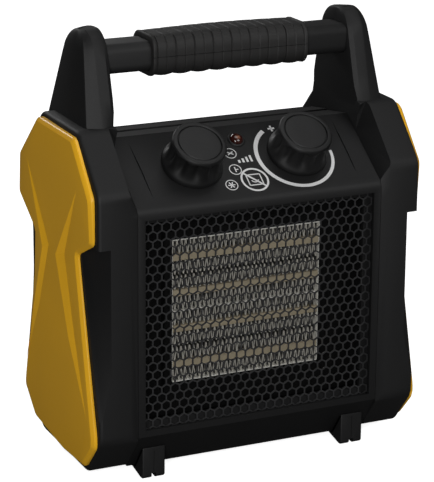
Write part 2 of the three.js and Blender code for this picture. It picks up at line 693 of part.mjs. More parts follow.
function knob(x) {
  const flange = roundZ(FLANGE_R, GAP, FLANGE_T, 0, 0, 40);
  const body = extrude(flutedOutline(KNOB_R, 1.8), KNOB_TALL - 2, { bevel: 1.2 })
    .translate(0, 0, 2);
  const capSeat = roundZ(CAP_R + GAP, KNOB_TALL - CAP_T, KNOB_TALL + 1, 0, 0, 28);
  const bore = roundZ(SPINDLE_R + GAP, -1, SPINDLE_UP + GAP, 0, 0, 16);
  return cut(join(flange, body), capSeat, bore).translate(x, KNOB_SLOPE, 0);
}

function control(name, x, size) {
  const [wide, deep, tall] = size;
  const under = -WALL - GAP;
  const body = box(-wide / 2, -deep / 2, under - tall, wide / 2, deep / 2, under)
    .translate(x, KNOB_SLOPE, 0);
  const bore = roundZ(SPINDLE_R + GAP, under - 6, 1, x, KNOB_SLOPE, 16);
  add(`${name}_body`, cut(body, bore), darkResin, panel);
  add(`${name}_spindle`, roundZ(SPINDLE_R, under - 5, SPINDLE_UP, x, KNOB_SLOPE, 16),
    brass, panel);
  add(`${name}_knob`, knob(x), blackPlastic, panel);
  add(`${name}_knob_cap`, roundZ(CAP_R, KNOB_TALL - CAP_T + GAP, KNOB_TALL, x, KNOB_SLOPE, 28),
    softBlack, panel);
}

control('mode_switch', -KNOB_X, SWITCH_SIZE);
control('thermostat', KNOB_X, THERMOSTAT_SIZE);

const lensProfile = [[0, GAP], [LAMP_R, GAP], [LAMP_R, 1.2], [LAMP_R * 0.72, 2.8], [0, 3.6]]
  .map(([r, h]) => new THREE.Vector2(r, h));
add('lamp_lens', new THREE.LatheGeometry(lensProfile, 20).rotateX(Math.PI / 2)
  .translate(0, LAMP_SLOPE, 0), lampRed, panel);
add('lamp_holder', roundZ(LAMP_R - 1, -WALL - LAMP_LONG, 0, 0, LAMP_SLOPE, 16),
  darkResin, panel);

// ---- Cord inlet and terminals ----------------------------------------------

add('cord_inlet', cut(
  join(roundY(INLET_R, DEPTH + GAP, TOTAL_DEPTH, INLET_X, INLET_Z, 20),
    roundY(INLET_R - 2, DEPTH - WALL - 8, DEPTH + 1, INLET_X, INLET_Z, 20)),
  roundY(4, DEPTH - 20, DEPTH + 20, INLET_X, INLET_Z, 16),
), softBlack);

function terminalBlock() {
  const low = BASE_Z + WALL + GAP;
  const mid = DEPTH - 31;
  const body = box(30, mid - 7, low, 54, mid + 7, low + 12);
  const wells = [34, 42, 50].map((x) => roundZ(2, low + 6, low + 13, x, mid, 12));
  return cut(body, ...wells);
}

add('terminal_block', terminalBlock(), ceramic);

// ---- Feet and housing screws -----------------------------------------------

// Two ribs with a groove between them, under the sloping skirt.
function foot(profile) {
  const inner = FOOT_INNER;
  const outer = FOOT_INNER + FOOT_WIDE;
  const mid = (inner + outer) / 2;
  const block = prismX(outline(profile), inner, outer);
  const [grooveY0, grooveY1] = [-5, DEPTH + 5];
  return cut(block, box(mid - FOOT_GROOVE / 2, grooveY0, -1, mid + FOOT_GROOVE / 2,
    grooveY1, BASE_Z - 2.5));
}

const skirtRise = (SKIRT_Z - BASE_Z) / (SKIRT_Y - BEZEL_Y);
const skirtAt = (y) => SKIRT_Z - (y - BEZEL_Y) * skirtRise - 2 * GAP;
const footRear = SKIRT_Y + 13;
const frontFoot = [
  [FOOT_FRONT_Y, 1.5], [FOOT_FRONT_Y + 1.5, 0], [FOOT_FRONT_Y + FOOT_TOE, 0],
  [footRear, BASE_Z - 1], [footRear, BASE_Z - GAP], [SKIRT_Y - GAP, BASE_Z - GAP],
  [FOOT_FRONT_Y, skirtAt(FOOT_FRONT_Y)],
];
const rearFoot = frontFoot.map(([y, z]) => [DEPTH - y + BEZEL_Y / 2, z]).reverse();
addPair('front_foot', foot(frontFoot), blackPlastic);
addPair('rear_foot', foot(rearFoot), blackPlastic);

let screwNumber = 0;
for (const z of [BASE_Z + 44, REAR_SLOPE_Z - 12]) {
  for (const x of [-HOUSING_HALF + 12, HOUSING_HALF - 12]) {
    screwNumber += 1;
    add(`housing_screw_${screwNumber}`, roundY(3.2, DEPTH + GAP, DEPTH + 2, x, z, 12), steel);
  }
}

export default heater;
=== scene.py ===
"""Looks of the portable ceramic heater, built round its packed CAD frame.

Lengths in the shape functions are millimetres: x from the middle, y back from the face
of the front columns, z up from the floor. to_world turns them into metres.
"""

import math
from contextlib import contextmanager

import bmesh
import bpy
from mathutils import Matrix, Vector
from mathutils.geometry import delaunay_2d_cdt


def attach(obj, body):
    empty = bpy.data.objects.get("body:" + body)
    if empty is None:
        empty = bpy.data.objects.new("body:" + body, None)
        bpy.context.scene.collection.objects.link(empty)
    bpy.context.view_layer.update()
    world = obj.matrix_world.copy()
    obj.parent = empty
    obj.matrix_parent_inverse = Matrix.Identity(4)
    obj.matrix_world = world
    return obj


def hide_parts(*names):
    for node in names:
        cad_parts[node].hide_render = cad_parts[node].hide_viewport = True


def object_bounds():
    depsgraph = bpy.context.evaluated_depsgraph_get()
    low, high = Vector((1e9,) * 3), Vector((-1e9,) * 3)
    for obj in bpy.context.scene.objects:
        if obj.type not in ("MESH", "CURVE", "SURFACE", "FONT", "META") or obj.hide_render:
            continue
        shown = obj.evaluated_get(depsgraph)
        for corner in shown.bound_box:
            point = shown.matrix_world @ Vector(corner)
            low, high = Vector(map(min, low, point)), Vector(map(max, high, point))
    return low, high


bl_info = {
    "name": "Ceramic heater",
    "version": (1, 0, 0),
    "blender": (4, 5, 0),
    "location": "View3D > Sidebar > Heater",
    "description": "Builds the pieces, finishes and studio of a portable ceramic heater",
    "category": "Object",
}

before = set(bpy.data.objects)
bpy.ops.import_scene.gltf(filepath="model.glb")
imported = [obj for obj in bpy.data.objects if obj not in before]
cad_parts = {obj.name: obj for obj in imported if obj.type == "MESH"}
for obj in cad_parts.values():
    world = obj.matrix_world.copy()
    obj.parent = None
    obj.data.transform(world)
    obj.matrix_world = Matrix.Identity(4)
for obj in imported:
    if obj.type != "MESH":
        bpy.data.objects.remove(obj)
CAD_LOW, CAD_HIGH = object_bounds()

MM = 0.001
BODY = "heater_body"
FRONT = CAD_LOW.y / MM  # the column face in the frame's own millimetres
TALL = CAD_HIGH.z / MM

# Places that several pieces share, as the CAD has them
GAP = 0.3
HOUSING_HALF = 89.5
FRAME_HALF = 118.0
DEPTH = 130.0
BASE_Z = 6.0
OPENING_LOW, OPENING_HIGH = 37.6, 182.0
OPENING_MID = (OPENING_LOW + OPENING_HIGH) / 2
PANEL_FOOT = (3.8, 190.0)
PANEL_TILT = math.radians(36)
KNOB_X, KNOB_SLOPE = 39.0, 31.5
KNOB_SEAT_R = 21.4
LAMP_SLOPE = 48.0
BAR_Y, BAR_Z = 67.0, 277.5
BAR_DEEP, BAR_TALL, BAR_ROUND = 28.0, 20.0, 6.0
ELEMENT_Y, ELEMENT_DEEP, ELEMENT_HALF = 24.0, 16.0, 55.0
MODULE, MODULES = 25.0, 4
ELEMENT_LOW = OPENING_MID - MODULE * MODULES / 2
ELEMENT_BACK = 39.4
ROD_T = 4.6
FAN_Y, FAN_DEEP, FAN_R = 62.0, 14.0, 60.0
HUB_R = 15.0

HOUSING_OUTLINE = [
    (2, 33), (22, BASE_Z), (108, BASE_Z), (DEPTH, 33), (DEPTH, 194), (106, 218),
    (53.15, 225.85), PANEL_FOOT, (2, 186),
]
FRAME_OUTLINE = [
    (0, 33), (22, BASE_Z), (104, 9), (126, 34), (127, 46), (118, 122), (118, 154),
    (128, 172), (128, 206), (97, 238), (34, 237), (0, 201.5),
]
PLATE_OUTLINE = [
    (5, 168.5), (5, 199.5), (33.5, 233.5), (94, 235), (127, 204), (127, 175), (96, 156),
    (99, 127), (123, 42), (123, 36), (104, 18), (58, 11), (21, 11), (3.5, 30), (3.5, 38),
    (26, 133), (31, 156),
]


# ---- Shapes ----


def to_world(point):
    x, y, z = point
    return Vector((x * MM, (y + FRONT) * MM, z * MM))


def on_panel(x, up, out):
    """A point of the leaning panel: across, up the slope, and out from its face."""
    y = PANEL_FOOT[0] + up * math.cos(PANEL_TILT) - out * math.sin(PANEL_TILT)
    z = PANEL_FOOT[1] + up * math.sin(PANEL_TILT) + out * math.cos(PANEL_TILT)
    return (x, y, z)


def mix(a, b, t):
    return a + (b - a) * t


def ease(t):
    t = min(max(t, 0.0), 1.0)
    return t * t * (3 - 2 * t)


@contextmanager
def edited(mesh):
    """The mesh opened for editing, and written back afterwards."""
    bm = bmesh.new()
    bm.from_mesh(mesh)
    yield bm
    bm.to_mesh(mesh)
    bm.free()


def linked(name, data):
    """A new object in the scene that holds the data."""
    piece = bpy.data.objects.new(name, data)
    bpy.context.scene.collection.objects.link(piece)
    return piece


def new_piece(name, shape):
    """A mesh object at the origin, from points in millimetres and their faces."""
    points, faces = shape
    mesh = bpy.data.meshes.new(name)
    mesh.from_pydata([to_world(p) for p in points], [], faces)
    with edited(mesh) as bm:
        bmesh.ops.remove_doubles(bm, verts=bm.verts, dist=1e-6)
        bmesh.ops.recalc_face_normals(bm, faces=bm.faces)
    return linked(name, mesh)


def lofted(rings, capped=True, looped=False):
    """Points and faces of a skin over rings that have the same number of points."""
    size = len(rings[0])
    points = [p for ring in rings for p in ring]
    faces = []
    spans = len(rings) if looped else len(rings) - 1
    for i in range(spans):
        low, high = i * size, ((i + 1) % len(rings)) * size
        for j in range(size):
            k = (j + 1) % size
            faces.append((low + j, low + k, high + k, high + j))
    if capped and not looped:
        last = (len(rings) - 1) * size
        faces.append(tuple(reversed(range(size))))
        faces.append(tuple(range(last, last + size)))
    return points, faces


def merged(shapes):
    """Several (points, faces) as one."""
    points, faces = [], []
    for more_points, more_faces in shapes:
        start = len(points)
        points += more_points
        faces += [tuple(start + i for i in face) for face in more_faces]
    return points, faces


def rounded(points, radius, steps=3):
    """A 2D outline with its corners rounded, by less where an edge is short."""
    out = []
    count = len(points)
    for i in range(count):
        before, here, after = (Vector(points[(i + d) % count]) for d in (-1, 0, 1))
        back, ahead = before - here, after - here
        reach = min(radius, 0.4 * back.length, 0.4 * ahead.length)
        start, end = here + back.normalized() * reach, here + ahead.normalized() * reach
        for step in range(steps + 1):
            t = step / steps
            out.append(tuple(start * (1 - t) ** 2 + here * 2 * t * (1 - t) + end * t * t))
    return out


def inset(points, distance):
    """A 2D outline moved in by distance, or out where it is negative."""
    count = len(points)
    area = sum(points[i][0] * points[(i + 1) % count][1]
               - points[(i + 1) % count][0] * points[i][1] for i in range(count))
    side = 1 if area > 0 else -1
    out = []
    for i in range(count):
        before, here, after = (Vector(points[(i + d) % count]) for d in (-1, 0, 1))
        a, b = (here - before).normalized(), (after - here).normalized()
        na, nb = Vector((-a.y, a.x)) * side, Vector((-b.y, b.x)) * side
        middle = na + nb
        if middle.length < 1e-6:
            middle = na
        middle.normalize()
        out.append(tuple(here + middle * distance / max(middle.dot(na), 0.35)))
    return out


def slab(outline, x0, x1, soft0=0.0, soft1=0.0, steps=4):
    """An outline in y and z filled from x0 to x1, with the rims of its ends rounded."""
    stations = []
    for step in range(steps if soft0 else 0):
        turn = math.pi / 2 * step / steps
        stations.append((x0 + soft0 * (1 - math.cos(turn)), soft0 * (1 - math.sin(turn))))
    stations.append((x0 + soft0, 0.0))
    stations.append((x1 - soft1, 0.0))
    for step in range(steps if soft1 else 0):
        turn = math.pi / 2 * (step + 1) / steps
        stations.append((x1 - soft1 * (1 - math.sin(turn)), soft1 * (1 - math.cos(turn))))
    rings = []
    for x, distance in stations:
        ring = inset(outline, distance) if distance else outline
        rings.append([(x, y, z) for y, z in ring])
    return lofted(rings)


def upright(outline, y0, y1):
    """An outline in x and z filled from y0 to y1."""
    return lofted([[(x, y0, z) for x, z in outline], [(x, y1, z) for x, z in outline]])


def block(x0, y0, z0, x1, y1, z1):
    return slab([(y0, z0), (y1, z0), (y1, z1), (y0, z1)], x0, x1)


def circle(x, y, radius, sides):
    """The points of a circle, counted round from its right-hand side."""
    turns = (math.tau * i / sides for i in range(sides))
    return [(x + radius * math.cos(a), y + radius * math.sin(a)) for a in turns]


def turned(profile, sides, place):
    """A solid of revolution from (radius, height) pairs, put in place by a function."""
    return lofted([[place(a, b, height) for a, b in circle(0, 0, radius, sides)]
                   for radius, height in profile])


def on_back(x, z):
    """Places a turned shape so that its height runs along y."""
    return lambda a, b, h: (x + a, h, z + b)


def flipped(shape):
    points, faces = shape
    return [(-x, y, z) for x, y, z in points], faces


def to_side(side, shape):
    """A shape of the right side, mirrored where it is for the left."""
    return flipped(shape) if side == "left" else shape


def carve(piece, shapes, operation="DIFFERENCE"):
    """Cuts, joins or keeps the shapes from or with a piece."""
    for shape in shapes:
        tool = new_piece("tool", shape)
        modifier = piece.modifiers.new("carve", "BOOLEAN")
        modifier.operation = operation
        modifier.solver = "EXACT"
        modifier.object = tool
        settle(piece)
        bpy.data.objects.remove(tool)
    return piece


def settle(piece):
    """Turns what the modifiers make into the piece's own mesh."""
    graph = bpy.context.evaluated_depsgraph_get()
    mesh = bpy.data.meshes.new_from_object(piece.evaluated_get(graph))
    old = piece.data
    piece.modifiers.clear()
    piece.data = mesh
    mesh.name = piece.name
    bpy.data.meshes.remove(old)
    return piece


def soften(piece, angle):
    """Shades the mesh smooth, with sharp edges where it turns by more than the angle."""
    with edited(piece.data) as bm:
        for face in bm.faces:
            face.smooth = True
        for edge in bm.edges:
            turn = edge.calc_face_angle(math.pi) if len(edge.link_faces) == 2 else math.pi
            edge.smooth = turn < math.radians(angle)


def tidy_faces(piece):
    """Merges what the cuts left double, and the flat faces that they split."""
    with edited(piece.data) as bm:
        bmesh.ops.remove_doubles(bm, verts=bm.verts, dist=2e-6)
        bmesh.ops.dissolve_degenerate(bm, edges=bm.edges, dist=1e-6)


def mount(piece, finish, slot, nodes=(), body=BODY, angle=35.0):
    """Gives a finished shape its shading, finish, body and the CAD nodes it stands for."""
    soften(piece, angle)
    piece.data.materials.clear()
    piece.data.materials.append(finish_of(finish))
    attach(piece, body)
    if nodes:
        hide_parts(*nodes)
    return piece


def shaped(name, shape, *looks, **settings):
    """A piece of this shape, mounted with these looks."""
    mount(new_piece(name, shape), *looks, **settings)


def cad_copy(name, node):
    """A merged copy of a CAD node's mesh, ready to be worked on."""
    piece = linked(name, bpy.data.objects[node].data.copy())
    with edited(piece.data) as bm:
        bmesh.ops.remove_doubles(bm, verts=bm.verts, dist=2e-6)
        bmesh.ops.dissolve_limit(bm, angle_limit=math.radians(0.5),
                                 verts=bm.verts, edges=bm.edges)
    return piece


# ---- Geometry Nodes ----


def sign(operation):
    """A method that puts a math node after two numbers."""
    return lambda number, other: number.nodes.math(operation, number, other)


class Number:
    """A number in a node tree, which takes the usual signs of arithmetic."""

    def __init__(self, nodes, socket):
        self.nodes, self.socket = nodes, socket

    def __rsub__(self, other):
        return self.nodes.math("SUBTRACT", other, self)

    __add__, __sub__, __mul__ = sign("ADD"), sign("SUBTRACT"), sign("MULTIPLY")
    __truediv__, __mod__ = sign("DIVIDE"), sign("MODULO")


class Tree:
    """A short way to write a node tree in code."""

    def __init__(self, tree):
        self.tree = tree

    def add(self, kind, values=(), **settings):
        node = self.tree.nodes.new(kind)
        for key, value in settings.items():
            setattr(node, key, value)
        return self.feed(node, dict(values))

    def feed(self, node, values):
        """Links or sets a node's inputs by name."""
        for key, value in values.items():
            socket = node.inputs[key]
            if isinstance(value, (Number, bpy.types.NodeSocket)):
                self.link(value, socket)
            else:
                socket.default_value = value
        return node

    def link(self, out, into):
        self.tree.links.new(out.socket if isinstance(out, Number) else out, into)

    def math(self, operation, a, b=0.0):
        node = self.add("ShaderNodeMath", {0: a, 1: b}, operation=operation)
        return Number(self, node.outputs[0])

    def index(self):
        return Number(self, self.shape("InputIndex"))

    def vector(self, **parts):
        return self.add("ShaderNodeCombineXYZ", parts).outputs[0]

    def shape(self, kind, values=(), **settings):
        """The first output of a new geometry node."""
        return self.add(f"GeometryNode{kind}", values, **settings).outputs[0]

    def joined(self, *shapes):
        node = self.add("GeometryNodeJoinGeometry")
        for shape in shapes:
            self.link(shape, node.inputs[0])
        return node.outputs[0]

    def stood(self, shape, turn, given):
        """Turns a flat shape upright and moves it to the depth and height asked for."""
        return self.shape("Transform", {
            "Geometry": shape, "Rotation": (math.radians(turn), 0.0, 0.0),
            "Translation": self.vector(Y=given["Depth"], Z=given["Middle"])})


def geometry_tree(name, inputs):
    """A geometry node group with named size inputs, and its group input and output."""
    group = bpy.data.node_groups.new(name, "GeometryNodeTree")
    group.interface.new_socket("Geometry", in_out="OUTPUT", socket_type="NodeSocketGeometry")
    for label, (kind, value) in inputs.items():
        socket = group.interface.new_socket(label, in_out="INPUT", socket_type=kind)
        socket.default_value = value
    nodes, given = Tree(group), group.nodes.new("NodeGroupInput").outputs
    return group, nodes, {label: Number(nodes, given[label]) for label in inputs}


def close_tree(nodes, geometry, finish):
    """Ends a tree in Realize Instances and Set Material."""
    real = nodes.shape("RealizeInstances", {"Geometry": geometry})
    painted = nodes.shape("SetMaterial", {"Geometry": real, "Material": finish_of(finish)})
    nodes.link(painted, nodes.tree.nodes.new("NodeGroupOutput").inputs[0])


def grown(name, group, values):
    """A plain mesh piece made by a geometry node group with these named values."""
    piece = linked(name, bpy.data.meshes.new(name))
    modifier = piece.modifiers.new(name, "NODES")
    modifier.node_group = group
    for item in group.interface.items_tree:
        if item.in_out == "INPUT" and item.name in values:
            modifier[item.identifier] = values[item.name]
    settle(piece)
    if not piece.data.polygons:
        raise RuntimeError(f"{name}: its node tree made no faces")
    return piece


FLOAT, WHOLE = "NodeSocketFloat", "NodeSocketInt"
WELD = 0.05 * MM


def honeycomb_tree(finish):
    """A sheet of hexagonal holes in staggered rows."""
    group, nodes, given = geometry_tree("honeycomb", {
        "Columns": (WHOLE, 27), "Rows": (WHOLE, 27), "Pitch": (FLOAT, 0.0065),
        "Web": (FLOAT, 0.001), "Thickness": (FLOAT, 0.001),
        "Depth": (FLOAT, 0.0), "Middle": (FLOAT, 0.1),
    })
    pitch = given["Pitch"]
    row_pitch = pitch * (math.sqrt(3) / 2)
    grid = nodes.shape("MeshGrid", {
        "Size X": (given["Columns"] - 1.0) * pitch, "Size Y": (given["Rows"] - 1.0) * row_pitch,
        "Vertices X": given["Columns"], "Vertices Y": given["Rows"]})
    row = nodes.index() % given["Rows"]
    shift = (row % 2.0 - 0.5) * (pitch * 0.5)
    staggered = nodes.shape("SetPosition", {"Geometry": grid, "Offset": nodes.vector(X=shift)})
    cell = nodes.shape("MeshCircle", {
        "Vertices": 6, "Radius": pitch / math.sqrt(3)}, fill_type="NGON")
    rim = nodes.add("GeometryNodeExtrudeMesh", {"Mesh": cell, "Offset Scale": 0.0}, mode="FACES")
    top = rim.outputs["Top"]
    drawn_in = nodes.shape("ScaleElements", {
        "Geometry": rim.outputs["Mesh"], "Selection": top, "Scale": 1.0 - given["Web"] / pitch})
    pierced = nodes.shape("DeleteGeometry", {"Geometry": drawn_in, "Selection": top},
                          domain="FACE")
    pointed_up = nodes.shape("Transform", {
        "Geometry": pierced, "Rotation": (0.0, 0.0, math.radians(30))})
    cells = nodes.shape("InstanceOnPoints", {"Points": staggered, "Instance": pointed_up})
    cells = nodes.shape("RealizeInstances", {"Geometry": cells})
    flat = nodes.shape("MergeByDistance", {"Geometry": cells, "Distance": WELD})
    raised = nodes.shape("ExtrudeMesh", {
        "Mesh": flat, "Offset Scale": given["Thickness"], "Individual": False}, mode="FACES")
    both = nodes.joined(raised, nodes.shape("FlipFaces", {"Mesh": flat}))
    sheet = nodes.shape("MergeByDistance", {"Geometry": both, "Distance": WELD})
    close_tree(nodes, nodes.stood(sheet, 90, given), finish)
    return group


def fin_tree(finish):
    """Rows of thin slats that lean to and fro, as a folded fin strip does."""
    group, nodes, given = geometry_tree("folded_fins", {
        "Folds": (WHOLE, 68), "Rows": (WHOLE, 8), "Length": (FLOAT, 0.108),
        "Height": (FLOAT, 0.0094), "Deep": (FLOAT, 0.014), "Thickness": (FLOAT, 0.0002),
        "Module": (FLOAT, 0.025), "Off rod": (FLOAT, 0.0074), "Lean": (FLOAT, 0.1),
        "Depth": (FLOAT, 0.0), "Bottom": (FLOAT, 0.05),
    })
    grid = nodes.shape("MeshGrid", {
        "Size X": given["Length"], "Size Y": 0.0,
        "Vertices X": given["Folds"], "Vertices Y": given["Rows"]})
    index = nodes.index()
    row = index % given["Rows"]
    fold = nodes.math("FLOOR", (index + 0.5) / given["Rows"])
    level = nodes.math("FLOOR", (row + 0.5) / 2.0) + 0.5
    side = row % 2.0 * 2.0 - 1.0
    height = level * given["Module"] + side * given["Off rod"] + given["Bottom"]
    at = nodes.add("ShaderNodeSeparateXYZ", {0: nodes.shape("InputPosition")}).outputs
    place = nodes.vector(X=at["X"], Y=given["Depth"], Z=height)
    points = nodes.shape("SetPosition", {"Geometry": grid, "Position": place})
    uneven = nodes.add("FunctionNodeRandomValue", {"Seed": 7}, data_type="FLOAT")
    for socket, value in zip([s for s in uneven.inputs if s.enabled][:2], (0.75, 1.25)):
        socket.default_value = value
    amount = [s for s in uneven.outputs if s.enabled][0]
    lean = (fold % 2.0 * 2.0 - 1.0) * given["Lean"] * amount
    slat = nodes.shape("MeshCube", {"Size": nodes.vector(
        X=given["Thickness"], Y=given["Deep"], Z=given["Height"])})
    slats = nodes.shape("InstanceOnPoints", {
        "Points": points, "Instance": slat, "Rotation": nodes.vector(Y=lean)})
    close_tree(nodes, slats, finish)
    return group


def guard_tree(finish):
    """Concentric wires with straight spokes across them."""
    group, nodes, given = geometry_tree("wire_guard", {
        "Rings": (WHOLE, 8), "Inner": (FLOAT, 0.012), "Pitch": (FLOAT, 0.006),
        "Wire": (FLOAT, 0.0009), "Spokes": (WHOLE, 8), "Reach": (FLOAT, 0.06),
        "Depth": (FLOAT, 0.0), "Middle": (FLOAT, 0.1),
    })
    index = nodes.index()
    radius = given["Inner"] + index * given["Pitch"]
    rings = nodes.shape("InstanceOnPoints", {
        "Points": nodes.shape("MeshLine", {"Count": given["Rings"], "Offset": (0, 0, 0)}),
        "Instance": nodes.shape("CurvePrimitiveCircle", {"Resolution": 64, "Radius": 1.0}),
        "Scale": radius})
    turn = index * math.tau / given["Spokes"]
    spokes = nodes.shape("InstanceOnPoints", {
        "Points": nodes.shape("MeshLine", {"Count": given["Spokes"], "Offset": (0, 0, 0)}),
        "Instance": nodes.shape("CurvePrimitiveLine", {
            "Start": (0.008, 0, 0), "End": nodes.vector(X=given["Reach"])}),
        "Rotation": nodes.vector(Z=turn)})
    curves = nodes.shape("RealizeInstances", {"Geometry": nodes.joined(rings, spokes)})
    profile = nodes.shape("CurvePrimitiveCircle", {"Resolution": 8, "Radius": given["Wire"]})
    wires = nodes.shape("CurveToMesh", {
        "Curve": curves, "Profile Curve": profile, "Fill Caps": True})
    close_tree(nodes, nodes.stood(wires, 90, given), finish)
    return group


def screw_tree(finish):
    """Pan heads with a cross slot, in a grid on the rear wall."""
    group, nodes, given = geometry_tree("rear_screws", {
        "Across": (FLOAT, 0.155), "Up": (FLOAT, 0.13), "Radius": (FLOAT, 0.0032),
        "Proud": (FLOAT, 0.0016), "Depth": (FLOAT, 0.0), "Middle": (FLOAT, 0.1),
    })
    radius, proud = given["Radius"], given["Proud"]
    grid = nodes.shape("MeshGrid", {
        "Size X": given["Across"], "Size Y": given["Up"], "Vertices X": 2, "Vertices Y": 2})
    head = nodes.shape("Transform", {
        "Geometry": nodes.shape("MeshUVSphere", {"Segments": 24, "Rings": 12, "Radius": radius}),
        "Scale": nodes.vector(X=1.0, Y=1.0, Z=proud / radius)})
    long, thin = radius * 1.2, radius * 0.28
    bars = nodes.joined(*(
        nodes.shape("Transform", {
            "Geometry": nodes.shape("MeshCube", {"Size": nodes.vector(X=x, Y=y, Z=proud)}),
            "Translation": nodes.vector(Z=proud)})
        for x, y in ((long, thin), (thin, long))))
    slotted = nodes.shape("MeshBoolean", {0: head, 1: bars}, operation="DIFFERENCE")
    heads = nodes.shape("InstanceOnPoints", {"Points": grid, "Instance": slotted})
    heads = nodes.shape("RealizeInstances", {"Geometry": heads})
    close_tree(nodes, nodes.stood(heads, -90, given), finish)
    return group


# ---- Finishes ----

# How strong the background is as a light, how bright the floor shows, and its true colour
AMBIENT = 0.03
FLOOR_GLOW = 0.86
FLOOR_BOUNCE = (0.1, 0.1, 0.1)
# How deep the fins stay free of painted shade, over what depth the painted shade darkens them, and
# how far the painted highlight on the lamp lens reaches
FIN_UNSHADED_DEPTH, FIN_SHADE_FADE, HIGHLIGHT_RADIUS = 0.9, 2.2, 2.2


def shader_group(name, inputs, outputs):
    group = bpy.data.node_groups.new(name, "ShaderNodeTree")
    for label, value in inputs.items():
        group.interface.new_socket(label, in_out="INPUT", socket_type=FLOAT).default_value = value
    for label in outputs:
        group.interface.new_socket(label, in_out="OUTPUT", socket_type=FLOAT)
    given = group.nodes.new("NodeGroupInput").outputs
    out = group.nodes.new("NodeGroupOutput").inputs
    return Tree(group), given, out


def once(build):
    """Makes a node group of the builder's name when it is first asked for."""
    def fetch():
        name = build.__name__
        if name not in bpy.data.node_groups:
            build(name)
        return bpy.data.node_groups[name]
    return fetch


def object_place(nodes):
    return nodes.add("ShaderNodeTexCoord").outputs["Object"]


def noise(nodes, scale, detail=3.0, stretch=None):
    """Noise over the piece's own coordinates."""
    at = object_place(nodes)
    if stretch:
        at = nodes.add("ShaderNodeMapping", {"Vector": at, "Scale": stretch}).outputs[0]
    texture = nodes.add("ShaderNodeTexNoise", {"Vector": at, "Scale": scale, "Detail": detail})
    return Number(nodes, texture.outputs[0])


@once
def moulded_grain(name):
    """Fine spark-eroded grain: a height, and a tone that varies slowly."""
    nodes, given, out = shader_group(
        name, {"Grain scale": 1500.0, "Grain depth": 1.0, "Tone scale": 22.0}, ("Height", "Tone"))
    cells = nodes.add("ShaderNodeTexVoronoi", {
        "Vector": object_place(nodes), "Scale": given["Grain scale"]})
    pits = Number(nodes, cells.outputs["Distance"]) * 0.4
    height = (noise(nodes, given["Grain scale"], 4.0) + pits) * given["Grain depth"]
    nodes.link(height, out["Height"])
    nodes.link(noise(nodes, given["Tone scale"], 2.0), out["Tone"])


@once
def hairlines(name):
    """Sparse fine scuffs, as a mask."""
    nodes, given, out = shader_group(name, {"Scale": 60.0, "Amount": 0.3}, ("Mask",))
    long = noise(nodes, given["Scale"], 6.0, (1.0, 14.0, 1.2))
    line = nodes.math("LESS_THAN", nodes.math("ABSOLUTE", long - 0.5), 0.004)
    patch = nodes.math("GREATER_THAN", noise(nodes, 14.0, 1.0), 0.58)
    nodes.link(line * patch * given["Amount"], out["Mask"])


@once
def brushed_metal(name):
    """Short parallel drawing lines: a height and a tone."""
    nodes, given, out = shader_group(name, {"Scale": 400.0}, ("Height", "Tone"))
    nodes.link(noise(nodes, given["Scale"], stretch=(0.06, 1.0, 1.0)), out["Height"])
    nodes.link(noise(nodes, 90.0), out["Tone"])


def colour_mix(nodes, amount, dark, light):
    node = nodes.add("ShaderNodeMix", data_type="RGBA")
    socket = {s.identifier: s for s in node.inputs}
    nodes.link(amount, socket["Factor_Float"])
    for key, value in (("A_Color", dark), ("B_Color", light)):
        if isinstance(value, bpy.types.NodeSocket):
            nodes.link(value, socket[key])
        else:
            socket[key].default_value = (*value, 1.0)
    return {s.identifier: s for s in node.outputs}["Result_Color"]


def new_finish(name):
    material = bpy.data.materials.new(name)
    material.use_nodes = True
    tree = material.node_tree
    return material, Tree(tree), tree.nodes["Principled BSDF"]


def shade(colour, factor):
    return tuple(min(1.0, c * factor) for c in colour)


def skinned(name, group, scale, colour, spread, rough, bump, deep):
    """A finish with the tone, roughness and relief of a shared node group."""
    material, nodes, shader = new_finish(name)
    skin = nodes.add("ShaderNodeGroup", node_tree=group)
    skin.inputs[0].default_value = scale  # the scale comes first in each of these groups
    height = skin.outputs["Height"]
    nodes.feed(shader, {
        "Base Color": colour_mix(nodes, skin.outputs["Tone"], shade(colour, 1 - spread),
                                 shade(colour, 1 + spread)),
        "Roughness": nodes.add("ShaderNodeMapRange", {
            "Value": height, "To Min": rough[0], "To Max": rough[1]}).outputs[0],
        "Normal": nodes.add("ShaderNodeBump", {
            "Height": height, "Strength": bump, "Distance": deep}).outputs[0],
    })
    return material, nodes, shader


def plastic(name, colour, rough, grain=1500.0, bump=0.12, spread=0.12, scuffs=0.25,
            swing=0.1, specular=0.5):
    """Moulded plastic: grain in the bump, a slow drift of tone, and faint hairlines."""
    low = rough - swing / 2
    material, nodes, shader = skinned(
        name, moulded_grain(), grain, colour, spread, (low, low + swing), bump, 0.2 * MM)
    scuff = nodes.add("ShaderNodeGroup", node_tree=hairlines())
    scuff.inputs["Amount"].default_value = scuffs
    tone = shader.inputs["Base Color"].links[0].from_socket
    nodes.feed(shader, {
        "Base Color": colour_mix(nodes, scuff.outputs["Mask"], tone, shade(colour, 1.6)),
        "Specular IOR Level": specular})
    return material


def metal(name, colour, rough, scale=400.0, metallic=0.9):
    """Drawn metal, with more or less of a metal's reflection."""
    material, nodes, shader = skinned(
        name, brushed_metal(), scale, colour, 0.15, (rough - 0.08, rough + 0.08), 0.15, 0.1 * MM)
    nodes.feed(shader, {"Metallic": metallic})
    return material


